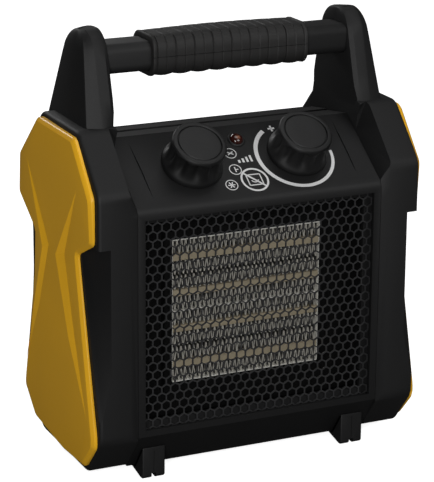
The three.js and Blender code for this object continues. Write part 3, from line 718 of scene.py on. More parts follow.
def fin_stock(name, colour):
    """Thin sheet that is bright along its front edge and dulled deeper in."""
    material, nodes, shader = new_finish(name)
    deep = nodes.add("ShaderNodeSeparateXYZ", {"Vector": object_place(nodes)}).outputs["Y"]
    edge = to_world((0, ELEMENT_Y + FIN_UNSHADED_DEPTH, 0)).y
    # painted shade: the fins darken with depth behind the element's front, mixed with a random
    # drift of tone
    painted_shade_depth = nodes.add("ShaderNodeMapRange", {
        "Value": deep, "From Min": edge, "From Max": edge + FIN_SHADE_FADE * MM}).outputs[0]
    tone_and_painted_shade = noise(nodes, 260.0) * 0.25 + painted_shade_depth
    nodes.feed(shader, {
        "Base Color": colour_mix(nodes, tone_and_painted_shade, colour, shade(colour, 0.06)),
        "Metallic": 0.25, "Roughness": 0.4})
    return material


def lamp_glass(name, colour, highlight_colour):
    """Coloured clear plastic, lit at its middle where the lamp shows through."""
    material, nodes, shader = new_finish(name)
    middle = to_world(on_panel(0.3, 47.6, 3.4))
    spread = 1 / (HIGHLIGHT_RADIUS * MM)
    local = nodes.add("ShaderNodeMapping", {
        "Vector": object_place(nodes), "Location": tuple(-c * spread for c in middle),
        "Scale": (spread, spread, spread)}).outputs[0]
    painted_highlight = nodes.add("ShaderNodeTexGradient", {"Vector": local}, gradient_type="SPHERICAL")
    # painted highlight: a lighter, patchy spot painted into the middle of the lens
    patch = noise(nodes, 700.0, 2.0) * painted_highlight.outputs[1] * 2.0
    nodes.feed(shader, {
        "Base Color": colour_mix(nodes, patch, colour, highlight_colour),
        "Roughness": 0.12, "Coat Weight": 0.5, "Coat Roughness": 0.05})
    return material


def print_ink(name, colour):
    """Pad-printed ink with a slightly uneven cover."""
    material, nodes, shader = new_finish(name)
    cover = noise(nodes, 900.0, 4.0)
    nodes.feed(shader, {
        "Base Color": colour_mix(nodes, cover, shade(colour, 0.86), shade(colour, 1.06)),
        "Roughness": 0.55})
    return material


def studio_floor(name, colour):
    """Pale paper that shows white but throws little light back up at the object."""
    material, nodes, shader = new_finish(name)
    nodes.feed(shader, {
        "Base Color": colour_mix(nodes, noise(nodes, 3.0, 2.0), shade(colour, 0.995), colour),
        "Roughness": 0.9, "Specular IOR Level": 0.0,
        "Emission Color": (1, 1, 1, 1), "Emission Strength": FLOOR_GLOW})
    dull = nodes.add("ShaderNodeBsdfDiffuse", {"Color": (*FLOOR_BOUNCE, 1)})
    seen = nodes.add("ShaderNodeLightPath").outputs["Is Camera Ray"]
    both = nodes.add("ShaderNodeMixShader", {0: seen, 1: dull.outputs[0], 2: shader.outputs[0]})
    nodes.link(both.outputs[0], nodes.tree.nodes["Material Output"].inputs["Surface"])
    return material


def finish_of(name):
    """The named finish, made when it is first asked for."""
    if name in bpy.data.materials:
        return bpy.data.materials[name]
    hues = bpy.context.scene.heater_colours
    make, hue, look = {
        "housing_black": (plastic, hues.housing, {"rough": 0.52, "specular": 0.32}),
        "frame_black": (plastic, hues.housing, {
            "rough": 0.6, "grain": 1300.0, "bump": 0.14, "specular": 0.4}),
        "plate_yellow": (plastic, hues.plates, {
            "rough": 0.3, "grain": 900.0, "bump": 0.05, "spread": 0.04, "scuffs": 0.06,
            "swing": 0.06}),
        "grip_rubber": (plastic, hues.grip, {
            "rough": 0.62, "grain": 2000.0, "bump": 0.25, "spread": 0.15, "scuffs": 0.2}),
        "knob_black": (plastic, hues.knobs, {
            "rough": 0.5, "grain": 1800.0, "bump": 0.08, "specular": 0.42}),
        "inner_resin": (plastic, hues.inner, {
            "rough": 0.75, "grain": 1100.0, "bump": 0.2, "spread": 0.2, "scuffs": 0.1,
            "specular": 0.12}),
        "feet_black": (plastic, hues.housing, {"rough": 0.5, "grain": 1200.0, "bump": 0.2}),
        "mesh_coating": (plastic, hues.mesh, {
            "rough": 0.35, "grain": 2400.0, "bump": 0.06, "spread": 0.1, "scuffs": 0.1,
            "swing": 0.06}),
        "fin_metal": (fin_stock, hues.fins, {}),
        "strip_metal": (metal, shade(hues.fins, 1.2), {
            "rough": 0.3, "scale": 500.0, "metallic": 0.3}),
        "rod_ceramic": (plastic, hues.rods, {
            "rough": 0.75, "grain": 1600.0, "bump": 0.3, "scuffs": 0.0}),
        "plain_steel": (metal, (0.55, 0.55, 0.56), {"rough": 0.32}),
        "plain_brass": (metal, (0.62, 0.45, 0.18), {"rough": 0.35}),
        "pilot_lens": (lamp_glass, hues.lamp, {"highlight_colour": (0.3, 0.13, 0.08)}),
        "print_white": (print_ink, hues.print, {}),
        "floor_pale": (studio_floor, hues.floor, {}),
    }[name]
    return make(name, hue, **look)


# ---- Sizes and colours a user can change ----


def length(name, description, default):
    return bpy.props.FloatProperty(name=name, description=description, default=default * MM,
                                   unit="LENGTH", subtype="DISTANCE", precision=5)


def colour(name, description, default):
    return bpy.props.FloatVectorProperty(name=name, description=description, default=default,
                                         subtype="COLOR", size=3, min=0.0, max=1.0)


class HeaterSizes(bpy.types.PropertyGroup):
    """Sizes of the visible detail."""

    mesh_pitch: length("Mesh pitch", "Width of one cell of the outlet mesh", 6.5)
    mesh_web: length("Mesh web", "Width of metal between two holes", 0.85)
    frame_round: length("Frame rounding", "Radius along the frames' outer edges", 2.5)
    plate_rim: length("Plate rim", "Width of the bevel round each side plate", 2.6)
    fin_thickness: length("Fin thickness", "Thickness of the folded fins", 0.4)
    guard_wire: length("Guard wire", "Radius of the rear guard's wires", 0.9)
    grip_segments: bpy.props.IntProperty(
        name="Grip segments", description="Ribbed segments along the grip", default=8, min=3)
    knob_flutes: bpy.props.IntProperty(
        name="Knob flutes", description="Finger flutes round each knob", default=10, min=4)


class HeaterColours(bpy.types.PropertyGroup):
    """Colours of the materials, linear."""

    housing: colour("Housing", "Black moulded plastic", (0.0065, 0.0065, 0.0067))
    plates: colour("Side plates", "Yellow side plates", (0.93, 0.49, 0.02))
    grip: colour("Grip", "Soft grip", (0.0085, 0.008, 0.0077))
    knobs: colour("Knobs", "Control knobs", (0.006, 0.006, 0.0062))
    inner: colour("Inner parts", "Dark resin inside", (0.003, 0.003, 0.003))
    mesh: colour("Mesh", "Coated outlet mesh", (0.03, 0.03, 0.031))
    fins: colour("Fins", "Heating fins", (0.8, 0.77, 0.69))
    rods: colour("Rods", "Ceramic rods", (0.34, 0.29, 0.2))
    lamp: colour("Lamp", "Pilot lamp", (0.03, 0.006, 0.004))
    print: colour("Print", "Printed marks", (0.72, 0.72, 0.72))
    floor: colour("Floor", "Studio floor", (0.86, 0.86, 0.86))


def sizes():
    return bpy.context.scene.heater_sizes


def in_mm(value):
    return value / MM


# ---- Housing ----


def panel_prism(outline, low, high):
    """An outline across and up the panel, filled from low to high over its face."""
    return lofted([[on_panel(x, up, h) for x, up in outline] for h in (low, high)])


def build_front_panel():
    piece = cad_copy("front_panel_shell", "front_panel")
    groove = panel_prism([(75.2, 7), (76.2, 28), (76.0, 56), (74.9, 30)], -0.9, 2)
    cuts = [groove, flipped(groove)]
    for x in (-KNOB_X, KNOB_X):
        cuts.append(panel_prism(circle(x, KNOB_SLOPE, KNOB_SEAT_R, 64), -0.35, 2))
    carve(piece, cuts)
    tidy_faces(piece)
    mount(piece, "housing_black", "black_plastic", ["front_panel"], angle=32)


def build_rear_shell():
    piece = cad_copy("rear_housing_shell", "rear_shell")
    bead = circle(101.5, 219.0, 1.3, 16)
    carve(piece, [slab(bead, -HOUSING_HALF + 2.2, HOUSING_HALF - 2.2)], "UNION")
    ribs = []
    for i in range(7):
        z = 17 + 3.4 * i
        slot = rounded([(-44, z), (44, z), (44, z + 1.5), (-44, z + 1.5)], 0.7)
        lean = max(0, (33 - z) * 0.815)  # below 33 the wall slopes in
        ribs.append(upright(slot, DEPTH - 0.9 - lean, DEPTH + 2 - lean * 0.2))
    for side in (-1, 1):
        for i in range(6):
            z = 60 + 7 * i
            slot = rounded([(side * 69, z), (side * 84, z), (side * 84, z + 2.4),
                            (side * 69, z + 2.4)], 1.1)
            ribs.append(upright(slot, DEPTH - 4, DEPTH + 2))
    carve(piece, ribs)
    tidy_faces(piece)
    mount(piece, "housing_black", "black_plastic", ["rear_shell"], angle=32)


# ---- Side frames and towers ----


TOWER_FOOT, CROWN_Z = 214, 283
TOWER_LOW, TOWER_HIGH = 230, 290  # the heights at which the tower's edges are given


def tower_ring(z):
    """The tower's section at a height: a front face in two facets, and a soft rear."""
    t = (z - TOWER_LOW) / (TOWER_HIGH - TOWER_LOW)
    front = mix(35.0, 52.0, t)
    back_in, back_out = mix(106.5, 89.5, t), mix(110, 87, t)
    side = mix(110.7, 105.6, t)
    top = max(0.0, (z - CROWN_Z) / (TALL - CROWN_Z))
    shrink = 11 * (1 - math.sqrt(max(0.0, 1 - top ** 2)))
    front, back_in, back_out = front + shrink, back_in - shrink, back_out - shrink
    side -= 0.28 * shrink
    inner = mix(89.9, 88.0, ease((z - 234) / 16)) + 0.12 * shrink
    return [
        (inner, max(front + 4.2, 40.6), z), (inner + 0.8, max(front + 2.0, 39.4), z),
        (inner + 3.6, max(front, 37.8), z),
        (98.6, front - 0.2, z), (99.4, front, z), (side - 3.4, front + 2.2, z),
        (side - 1.2, front + 3.4, z), (side, front + 6, z),
        (side, mix(front, back_out, 0.5), z),
        (side, back_out - 5, z), (side - 1.2, back_out - 1.6, z), (side - 4, back_out, z),
        (mix(inner, side, 0.5), mix(back_in, back_out, 0.5) + 0.4, z),
        (inner + 3, back_in, z), (inner + 0.8, back_in - 1.2, z), (inner, back_in - 4, z),
        (inner, mix(front, back_in, 0.5), z),
    ]


def tower_shape():
    levels = [TOWER_FOOT + 8 * i for i in range(9)]
    levels += [CROWN_Z + (TALL - CROWN_Z) * math.sin(math.pi / 2 * i / 9) for i in range(1, 10)]
    return lofted([tower_ring(z) for z in levels])


def hull(points):
    """The convex hull of some points."""
    bm = bmesh.new()
    for p in points:
        bm.verts.new(p)
    bmesh.ops.convex_hull(bm, input=bm.verts)
    loose = [v for v in bm.verts if not v.link_faces]
    bmesh.ops.delete(bm, geom=loose, context="VERTS")
    bm.verts.index_update()
    shape = [tuple(v.co) for v in bm.verts], [tuple(v.index for v in f.verts) for f in bm.faces]
    bm.free()
    return shape


def column_pocket():
    """Cutters that slope the column's inner wall from its front face to the panel."""
    stations = [
        ((89.6, 2, 20), (96, 0, 20), (0, -20, 0)),
        ((89.6, 2, 186), (96, 0, 186), (0, -20, 0)),
        ((89.6, 3.8, 190), (96, 0, 201.5), (0, -16, 16)),
        ((89.6, 40, 216), (96, 36, 239), (0, -16, 16)),
    ]
    cuts = []
    for first, second in zip(stations, stations[1:]):
        points = []
        for deep, outer, lift in (first, second):
            points += [deep, outer, tuple(a + b for a, b in zip(outer, lift)),
                       (84, deep[1], deep[2]),
                       (84, outer[1] + lift[1], outer[2] + lift[2])]
        cuts.append(hull(points))
    return cuts


def column_recess():
    """Cutter that slants each column's outer wall back to the side plate's edge."""
    return hull([
        (109.3, -0.5, 166), (109.3, -0.5, 78), (117.9, -0.5, 40), (125, -0.5, 40),
        (125, -0.5, 166), (118.2, 31, 166), (118.2, 7.5, 78), (125, 31, 166),
        (125, 7.5, 78),
    ])


def build_side_frame(side):
    soft = in_mm(sizes().frame_round)
    wall = slab(rounded(FRAME_OUTLINE, 5, 5), HOUSING_HALF + GAP, FRAME_HALF, 0.5, soft, 5)
    piece = new_piece(f"side_frame_{side}_shell", to_side(side, wall))
    carve(piece, [to_side(side, cut) for cut in (*column_pocket(), column_recess())])
    carve(piece, [to_side(side, tower_shape())], "UNION")
    housing = slab(inset(HOUSING_OUTLINE, -1.3), 60, HOUSING_HALF + GAP)
    bar_end = slab(bar_outline(GAP), 84, 98.4)
    carve(piece, [to_side(side, housing), to_side(side, bar_end)])
    tidy_faces(piece)
    mount(piece, "frame_black", "black_plastic",
          [f"side_frame_{side}", f"tower_cover_{side}"], angle=31)


# ---- Side plates ----


PLATE_IN = FRAME_HALF + GAP
PLATE_FACE = 121.3
PLATE_EDGE, PLATE_SHOULDER = 2.2, 1.6  # how far the rim falls back from the face
# Creases of the plate's face: (y, z, height over the face)
PLATE_CREASES = {
    "front_top": (26.1, 200.0, 1.3), "front_low_side": (53.0, 150.7, -0.9),
    "front_high_side": (60.6, 148.5, 2.5), "front_low_half": (35.3, 97.6, -0.3),
    "front_high_half": (40.4, 96.1, 2.0), "front_foot": (13.6, 48.9, 1.0),
    "rear_top": (111.0, 202.0, 2.1), "rear_low_side": (75.0, 151.5, 1.5),
    "rear_high_side": (80.4, 148.9, 4.0), "rear_low_half": (93.6, 103.8, 1.6),
    "rear_high_half": (99.4, 102.0, 3.5), "rear_foot": (118.6, 57.0, 2.0),
}
CREASE_LINES = [
    (f"{end}_{a}", f"{end}_{b}") for end in ("front", "rear") for a, b in (
        ("top", "low_side"), ("top", "high_side"), ("low_side", "low_half"),
        ("low_half", "foot"), ("high_side", "high_half"), ("high_half", "foot"),
        ("low_side", "high_side"), ("low_half", "high_half"))
] + [("front_high_side", "rear_low_side")]


def rim_height(y, z):
    """How far the plate's face stands out at its rim."""
    if y < 45:
        return mix(0.0, 1.1, ease((z - 168) / 35)) if z > 150 else mix(0.9, 0.0, ease(z / 140))
    back = ease((y - 50) / 50)
    waist = 1 - min(1.0, abs(z - 145) / 60)
    return mix(1.3, mix(2.2, 3.9, ease(waist)), back)


def plate_skin(rim):
    """A plate with a bevelled rim of this width and a face that is creased into facets."""
    outer = rounded(PLATE_OUTLINE, 3.5)
    inner = inset(outer, rim)
    names = list(PLATE_CREASES)
    flat = [Vector(p) for p in inner] + [Vector(PLATE_CREASES[n][:2]) for n in names]
    count = len(inner)
    edges = [(i, (i + 1) % count) for i in range(count)]
    edges += [(count + names.index(a), count + names.index(b)) for a, b in CREASE_LINES]
    places, _, facets, origins, _, _ = delaunay_2d_cdt(flat, edges, [], 1, 1e-5)
    points, where = [], {}
    for i, ((y, z), source) in enumerate(zip(places, origins)):
        first = source[0] if source else 0
        high = PLATE_CREASES[names[first - count]][2] if first >= count else rim_height(y, z)
        points.append((PLATE_FACE + high, y, z))
        if source:
            where[first] = i
    start = len(points)
    points += [(PLATE_IN, y, z) for y, z in outer]
    for ring, drop in ((outer, PLATE_EDGE), (inset(outer, 0.5), PLATE_SHOULDER)):
        points += [(PLATE_FACE + rim_height(y, z) - drop, y, z) for y, z in ring]
    faces = [tuple(f) for f in facets]
    for i in range(count):
        j = (i + 1) % count
        for a in (start, start + count):
            b = a + count
            faces.append((a + i, a + j, b + j, b + i))
        last = start + 2 * count
        faces.append((last + i, last + j, where[j], where[i]))
    faces.append(tuple(start + i for i in reversed(range(count))))
    return points, faces


def build_side_plate(side):
    skin = to_side(side, plate_skin(in_mm(sizes().plate_rim)))
    piece = new_piece(f"side_plate_{side}_skin", skin)
    bevel = piece.modifiers.new("soft", "BEVEL")
    bevel.width, bevel.segments = 0.5 * MM, 3
    bevel.limit_method, bevel.angle_limit = "ANGLE", math.radians(13)
    settle(piece)
    mount(piece, "plate_yellow", "yellow_plastic", [f"side_plate_{side}"], angle=12)


# ---- Handle ----


def bar_outline(grow=0.0):
    """The handle bar's section, grown all round."""
    a, b, radius = BAR_DEEP / 2 - BAR_ROUND, BAR_TALL / 2 - BAR_ROUND, BAR_ROUND + grow
    points = []
    for corner, (sy, sz) in enumerate(((1, -1), (1, 1), (-1, 1), (-1, -1))):
        for step in range(7):
            turn = math.pi / 2 * (corner - 1 + step / 6)
            points.append((BAR_Y + sy * a + radius * math.cos(turn),
                           BAR_Z + sz * b + radius * math.sin(turn)))
    return points


GRIP_HALF, GRIP_T, GRIP_COLLAR, GRIP_LIP = 57.5, 3.4, 3.2, 0.5
GRIP_RUN = 2 * (GRIP_HALF - GRIP_COLLAR)
GRIP_STEPS = 330
GROOVE_DEEP, GROOVE_HALF, LINE_DEEP, LINE_HALF = 0.8, 0.45, 0.35, 0.35


def grip_phase(x):
    """How far x lies through its segment of the grip, from 0 to 1."""
    return ((x + GRIP_RUN / 2) / (GRIP_RUN / sizes().grip_segments)) % 1.0


def grip_height(x):
    """How thick the sleeve is at x, with its collars, grooves and fine lines."""
    edge = GRIP_HALF - abs(x)
    if edge < GRIP_COLLAR:
        t = edge / GRIP_COLLAR
        return GRIP_T + GRIP_LIP * (1 - t ** 4) - 1.3 * max(0.0, 1 - 3 * t) ** 2
    pitch = GRIP_RUN / sizes().grip_segments
    phase = grip_phase(x)
    to_groove = min(phase, 1 - phase) * pitch
    to_line = abs(phase - 0.5) * pitch
    groove = GROOVE_DEEP * max(0.0, 1 - (to_groove / GROOVE_HALF) ** 2)
    line = LINE_DEEP * max(0.0, 1 - (to_line / LINE_HALF) ** 2)
    return GRIP_T + 0.12 * math.sin(math.pi * phase) - groove - line


def grip_half(upward):
    """One moulded half of the grip, as rings along x."""
    sign = 1 if upward else -1
    rings = []
    for i in range(GRIP_STEPS + 1):
        x = round(-GRIP_HALF + 2 * GRIP_HALF * i / GRIP_STEPS, 4)
        swell = 0.0
        if upward:
            swell = 1.1 * math.cos(math.pi * x / (2 * GRIP_HALF))
        elif abs(x) < GRIP_HALF - GRIP_COLLAR:
            swell = 0.9 * math.sin(math.pi * grip_phase(x)) - 0.5
        loop = half_outline(grip_height(x), swell) + half_outline(GAP, 0)[::-1]
        rings.append([(x, BAR_Y + y, BAR_Z + sign * (z + GAP / 2)) for y, z in loop])
    return lofted(rings)


def half_outline(grow, swell):
    """Half of the bar's section grown, from its rear face over the top to its front."""
    a, b, radius = BAR_DEEP / 2 - BAR_ROUND, BAR_TALL / 2 - BAR_ROUND, BAR_ROUND + grow
    points = [(a + radius, 0.0), (a + radius, b * 0.5)]
    for step in range(6):
        turn = math.pi / 2 * step / 5
        points.append((a + radius * math.cos(turn), b + radius * math.sin(turn)))
    for step in range(1, 4):
        points.append((mix(a, -a, step / 4), b + radius))
    for step in range(6):
        turn = math.pi / 2 * (1 + step / 5)
        points.append((-a + radius * math.cos(turn), b + radius * math.sin(turn)))
    points += [(-a - radius, b * 0.5), (-a - radius, 0.0)]
    return [(y, z + swell * ease((z - b) / radius)) for y, z in points]


def build_handle():
    shaped("handle_bar_tube", slab(bar_outline(), -97.7, 97.7, 0.6, 0.6, 2),
           "frame_black", "black_plastic", ["handle_bar"], angle=40)
    for name, upward in (("grip_upper", True), ("grip_lower", False)):
        shaped(f"{name}_sleeve", grip_half(upward), "grip_rubber", "soft_black", [name], angle=28)


# ---- Outlet grille and element ----


MESH_COUNT, MESH_T, MESH_BACK = 28, 1.0, 8.98


def build_grille():
    pitch = sizes().mesh_pitch
    tree = honeycomb_tree("mesh_coating")
    values = {"Columns": MESH_COUNT, "Rows": MESH_COUNT, "Pitch": pitch,
              "Web": sizes().mesh_web, "Thickness": MESH_T * MM,
              "Depth": (MESH_BACK + FRONT) * MM, "Middle": OPENING_MID * MM}
    piece = grown("outlet_mesh", tree, values)
    half, low, high = 86.2, OPENING_LOW - 1.7, OPENING_HIGH + 1.7
    carve(piece, [block(-half, 5, low, half, 15, high)], "INTERSECT")
    mount(piece, "mesh_coating", "black_mesh", ["front_grille"], angle=40)


def build_element():
    tree = fin_tree("fin_metal")
    values = {"Folds": 70, "Rows": 2 * MODULES, "Length": (2 * ELEMENT_HALF - 3) * MM,
              "Height": 9.3 * MM, "Deep": (ELEMENT_DEEP - 2) * MM,
              "Thickness": sizes().fin_thickness, "Module": MODULE * MM,
              "Off rod": (ROD_T / 2 + GAP + 4.8) * MM, "Lean": math.radians(8),
              "Depth": (ELEMENT_Y + ELEMENT_DEEP / 2 + FRONT) * MM, "Bottom": ELEMENT_LOW * MM}
    fins = grown("folded_fins", tree, values)
    mount(fins, "fin_metal", "aluminium_fins",
          [f"fin_pack_{i + 1}" for i in range(2 * MODULES)], angle=40)
    front, back, high = ELEMENT_Y + 0.2, ELEMENT_BACK, ELEMENT_LOW + MODULE * MODULES
    strips = [block(-54.8, front, z - 0.35, 54.8, back, z + 0.35)
              for z in (ELEMENT_LOW + 0.4, OPENING_MID, high - 0.4)]
    strips += [block(x - 0.35, front, ELEMENT_LOW + 0.6, x + 0.05, back, high - 0.6)
               for x in (-54.9, 54.9)]
    shaped("element_strips", merged(strips), "strip_metal", "aluminium_fins", angle=40)


# ---- Fan ----


BLADES, BLADE_RINGS, BLADE_SIDES = 5, 8, 18


def blade_shape(index):
    """A cambered blade that flattens towards its tip."""
    rings = []
    for step in range(BLADE_RINGS + 1):
        t = step / BLADE_RINGS
        r = mix(HUB_R - 1.5, FAN_R - 0.4, t)
        chord, pitch = mix(20, 38, t ** 0.7), math.radians(mix(38, 17, t))
        thick, bow = mix(1.9, 1.1, t), mix(2.2, 3.0, t)
        middle = math.tau * index / BLADES + 0.35 * t
        ring = []
        for i in range(BLADE_SIDES):
            turn = math.tau * i / BLADE_SIDES
            along = math.cos(turn) * chord / 2
            across = math.sin(turn) * thick / 2 + bow * (1 - (2 * along / chord) ** 2) - bow / 2
            tangent = along * math.cos(pitch) - across * math.sin(pitch)
            axial = along * math.sin(pitch) + across * math.cos(pitch)
            angle = middle + tangent / r
            ring.append((r * math.cos(angle), FAN_Y + FAN_DEEP / 2 + axial * 0.9,
                         OPENING_MID + r * math.sin(angle)))
        rings.append(ring)
    return lofted(rings)


def build_fan():
    middle = FAN_Y + FAN_DEEP / 2
    hub = [(2.5, middle - 6), (10, middle - 6), (13.4, middle - 5.2), (14.8, middle - 3.2),
           (15, middle + 5.4), (14.4, middle + 6), (2.5, middle + 6)]
    piece = new_piece("fan_hub_and_blades", turned(hub, 48, on_back(0, OPENING_MID)))
    carve(piece, [blade_shape(i) for i in range(BLADES)], "UNION")
    tidy_faces(piece)
    mount(piece, "inner_resin", "dark_resin", ["fan_impeller"], "fan_rotor", 40)


def ring_shape(profile, sides, place):
    """A closed ring from a closed (radius, height) loop."""
    rings = []
    for i in range(sides):
        a = math.tau * i / sides
        rings.append([place(r * math.cos(a), r * math.sin(a), h) for r, h in profile])
    return lofted(rings, capped=False, looped=True)


def build_rear_guard():
    tree = guard_tree("frame_black")
    values = {"Rings": 8, "Inner": 13 * MM, "Pitch": 6 * MM, "Wire": sizes().guard_wire,
              "Spokes": 8, "Reach": 60 * MM, "Depth": (129 + FRONT) * MM,
              "Middle": OPENING_MID * MM}
    wires = grown("guard_wires", tree, values)
    mount(wires, "frame_black", "black_plastic", ["rear_guard"], angle=50)
    rim = [(58.6, 128.1), (61.6, 128.1), (62.1, 128.5), (62.1, 129.6), (61.6, 130),
           (59.4, 130), (58.6, 129.5)]
    boss = [(0.01, 128.1), (9.2, 128.1), (10, 128.6), (10, 129.5), (9, 130), (0.01, 130)]
    place = on_back(0, OPENING_MID)
    shaped("guard_rim", merged([ring_shape(rim, 96, place), turned(boss, 48, place)]),
           "frame_black", "black_plastic", ["rear_guard"], angle=50)


def build_inlet():
    loop = [(4, 121), (6.8, 121), (6.8, 130.2), (8.6, 130.4), (9, 131), (9, 133.6),
            (8.4, 134.6), (7.4, 135), (4.6, 135), (4, 134.6)]
    shaped("cord_inlet_collar", ring_shape(loop, 48, on_back(62, 48)),
           "grip_rubber", "soft_black", ["cord_inlet"], angle=40)


# ---- Controls ----


def panel_place(x, up):
    return lambda a, b, h: on_panel(x + a, up + b, h)


FLUTE_SIDES, FLUTE_DIP, FLUTE_ARCH = 14, 2.6, 2.2


def fluted_knob(x):
    """The knob's skin: flange, fluted waist, and a smooth ring round the cap."""
    flutes = sizes().knob_flutes
    rows = [
        (20.8, 0.4, 0), (20.8, 1.8, 0), (20.6, 2.8, 0), (20.1, 3.8, 0.05), (19.5, 5.2, 0.2),
        (19.0, 7.0, 0.5), (18.7, 9.0, 0.8), (18.5, 11, 1), (18.4, 13, 1), (18.3, 15, 1),
        (18.3, 16.2, 0.95), (18.5, 17.0, 0.8), (18.7, 17.9, 0.55), (18.8, 18.9, 0.25),
        (18.7, 20.0, 0.05), (18.4, 20.9, 0), (17.8, 21.7, 0), (16.8, 22.0, 0),
        (15.3, 21.95, 0), (15.0, 21.7, 0), (14.8, 20.9, 0), (3.4, 20.9, 0),
    ]
    sides = flutes * FLUTE_SIDES
    rings = []
    for radius, height, depth in rows:
        arch = FLUTE_ARCH * depth if height > 14 else 0.0
        ring = []
        for i in range(sides):
            a = math.tau * i / sides
            flute = (0.5 + 0.5 * math.cos(flutes * a)) ** 1.5
            r = radius - FLUTE_DIP * depth * flute
            ring.append(on_panel(x + r * math.cos(a), KNOB_SLOPE + r * math.sin(a),
                                 height + arch * flute))
        rings.append(ring)
    return lofted(rings)


def build_knobs():
    for name, x, body in (("mode_switch", -KNOB_X, "mode_knob"),
                          ("thermostat", KNOB_X, "thermostat_dial")):
        shaped(f"{name}_fluted_knob", fluted_knob(x),
               "knob_black", "black_plastic", [f"{name}_knob"], body, 30)
        cap = [(0.01, 21.0), (14.4, 21.0), (14.5, 21.4), (14.1, 21.75), (13.3, 21.85),
               (6.0, 21.7), (0.01, 21.65)]
        shaped(f"{name}_cap_disc", turned(cap, 72, panel_place(x, KNOB_SLOPE)),
               "knob_black", "soft_black", [f"{name}_knob_cap"], body, 30)


INK_LOW, INK_HIGH = 0.02, 0.16


def printed_arc(x, up, radius, widths, turns, steps):
    """A printed arc between two angles in degrees, whose width changes on the way."""
    rings = []
    for i in range(steps + 1):
        t = i / steps
        a = math.radians(mix(*turns, t))
        outer, inner = ((x + r * math.cos(a), up + r * math.sin(a))
                        for r in (radius, radius - mix(*widths, t)))
        rings.append([on_panel(*outer, INK_LOW), on_panel(*inner, INK_LOW),
                      on_panel(*inner, INK_HIGH), on_panel(*outer, INK_HIGH)])
    return lofted(rings)


def printed_ring(x, up, radius, width, sides):
    profile = [(radius - width, INK_LOW), (radius, INK_LOW), (radius, INK_HIGH),
               (radius - width, INK_HIGH)]
    return ring_shape(profile, sides, panel_place(x, up))


def printed_bar(x, up, long, wide, turn):
    """A straight printed stroke, turned by an angle in degrees."""
    a = math.radians(turn)
    ahead, side = Vector((math.cos(a), math.sin(a))), Vector((-math.sin(a), math.cos(a)))
    middle = Vector((x, up))
    corners = [middle + ahead * long / 2 * i + side * wide / 2 * j
               for i, j in ((-1, -1), (1, -1), (1, 1), (-1, 1))]
    return panel_prism([tuple(c) for c in corners], INK_LOW, INK_HIGH)


# Printed strokes: (across, up the panel, length, width, degrees)
STROKES = [
    (0.2, 12.9, 17.6, 1.2, -45), (-4.8, 12.9, 9, 0.75, 90), (5.2, 12.9, 9, 0.75, 90),
    (0.2, 8.5, 9, 0.75, 0), (0.2, 17.3, 9, 0.75, 0),
    (-8.6, 37.0, 4.6, 0.8, 30), (-8.6, 37.0, 4.6, 0.8, 150),
    (-10.2, 23.0, 4.2, 0.8, 90), (-9.2, 23.0, 2.2, 0.7, 0),
    *((-17.6, 10.6, 5.2, 0.75, lean) for lean in (0, 60, 120)),
    *((-4.8 + 3.0 * i, 28.2 + tall / 2, tall, 1.5, 90)
      for i, tall in enumerate((2.4, 3.4, 4.4, 5.4))),
    (28.6, 54.2, 5.0, 1.3, 0), (28.6, 54.2, 5.0, 1.3, 90),
]
# Printed circles: (across, up the panel, radius, width, sides)
CIRCLES = [(0.2, 12.9, 9.9, 1.35, 48), (-8.6, 37.0, 4.4, 0.55, 32),
           (-10.2, 23.0, 4.4, 0.55, 32), (-17.6, 10.6, 4.4, 0.55, 32)]


def build_marks():
    dial = printed_arc(36.5, 30.1, 28.4, (3.0, 2.1), (123, 360), 72)
    hook = printed_arc(0.2, 13.4, 3.0, (0.8, 0.8), (200, 340), 16)
    marks = [dial, hook, *(printed_ring(*c) for c in CIRCLES), *(printed_bar(*b) for b in STROKES)]
    shaped("panel_marks", merged(marks), "print_white", None, angle=40)


def build_lamp():
    dome = [(0.01, 0.3), (4.5, 0.3), (4.5, 1.0), (4.2, 1.8), (3.3, 2.7), (1.8, 3.3), (0.01, 3.5)]
    place = panel_place(0, LAMP_SLOPE)
    shaped("lamp_dome", turned(dome, 36, place), "pilot_lens", "lamp_red", ["lamp_lens"],
           angle=50)
    collar = [(4.7, 0.05), (6.2, 0.05), (6.0, 0.7), (5.4, 1.0), (4.75, 0.9)]
    shaped("lamp_collar", ring_shape(collar, 48, place), "knob_black", "black_plastic", angle=50)


# ---- Feet and screws ----


FOOT_PROFILE = [(9, 1.5), (10.5, 0), (13, 0), (35, 5), (35, 5.7), (21.7, 5.7), (9, 22.8)]


def build_feet():
    rear = [(DEPTH - y + 1, z) for y, z in reversed(FOOT_PROFILE)]
    for end, profile in (("front", FOOT_PROFILE), ("rear", rear)):
        soft = rounded(profile, 1.2)
        for side in ("left", "right"):
            shoe = slab(soft, 67, 83.5, 0.9, 0.9, 3)
            piece = new_piece(f"{end}_foot_{side}_shoe", to_side(side, shoe))
            cuts = [block(73.65, -5, -1, 76.85, 140, 3.5)]
            if end == "front":
                cuts.append(block(75.0, 8, 3.4, 75.5, 9.4, 20))
            carve(piece, [to_side(side, cut) for cut in cuts])
            mount(piece, "feet_black", "black_plastic", [f"{end}_foot_{side}"])


def build_screws():
    tree = screw_tree("plain_steel")
    values = {"Across": 2 * 77.5 * MM, "Up": 132 * MM, "Radius": 3.2 * MM, "Proud": 1.6 * MM,
              "Depth": (DEPTH + 0.35 + FRONT) * MM, "Middle": 116 * MM}
    piece = grown("housing_screws", tree, values)
    mount(piece, "plain_steel", "steel", [f"housing_screw_{i}" for i in range(1, 5)], angle=40)


# ---- Operators ----


class HeaterBuild:
    """What every build operator shares."""

    bl_options = {"REGISTER", "UNDO"}

    def execute(self, context):
        self.build()
        return {"FINISHED"}


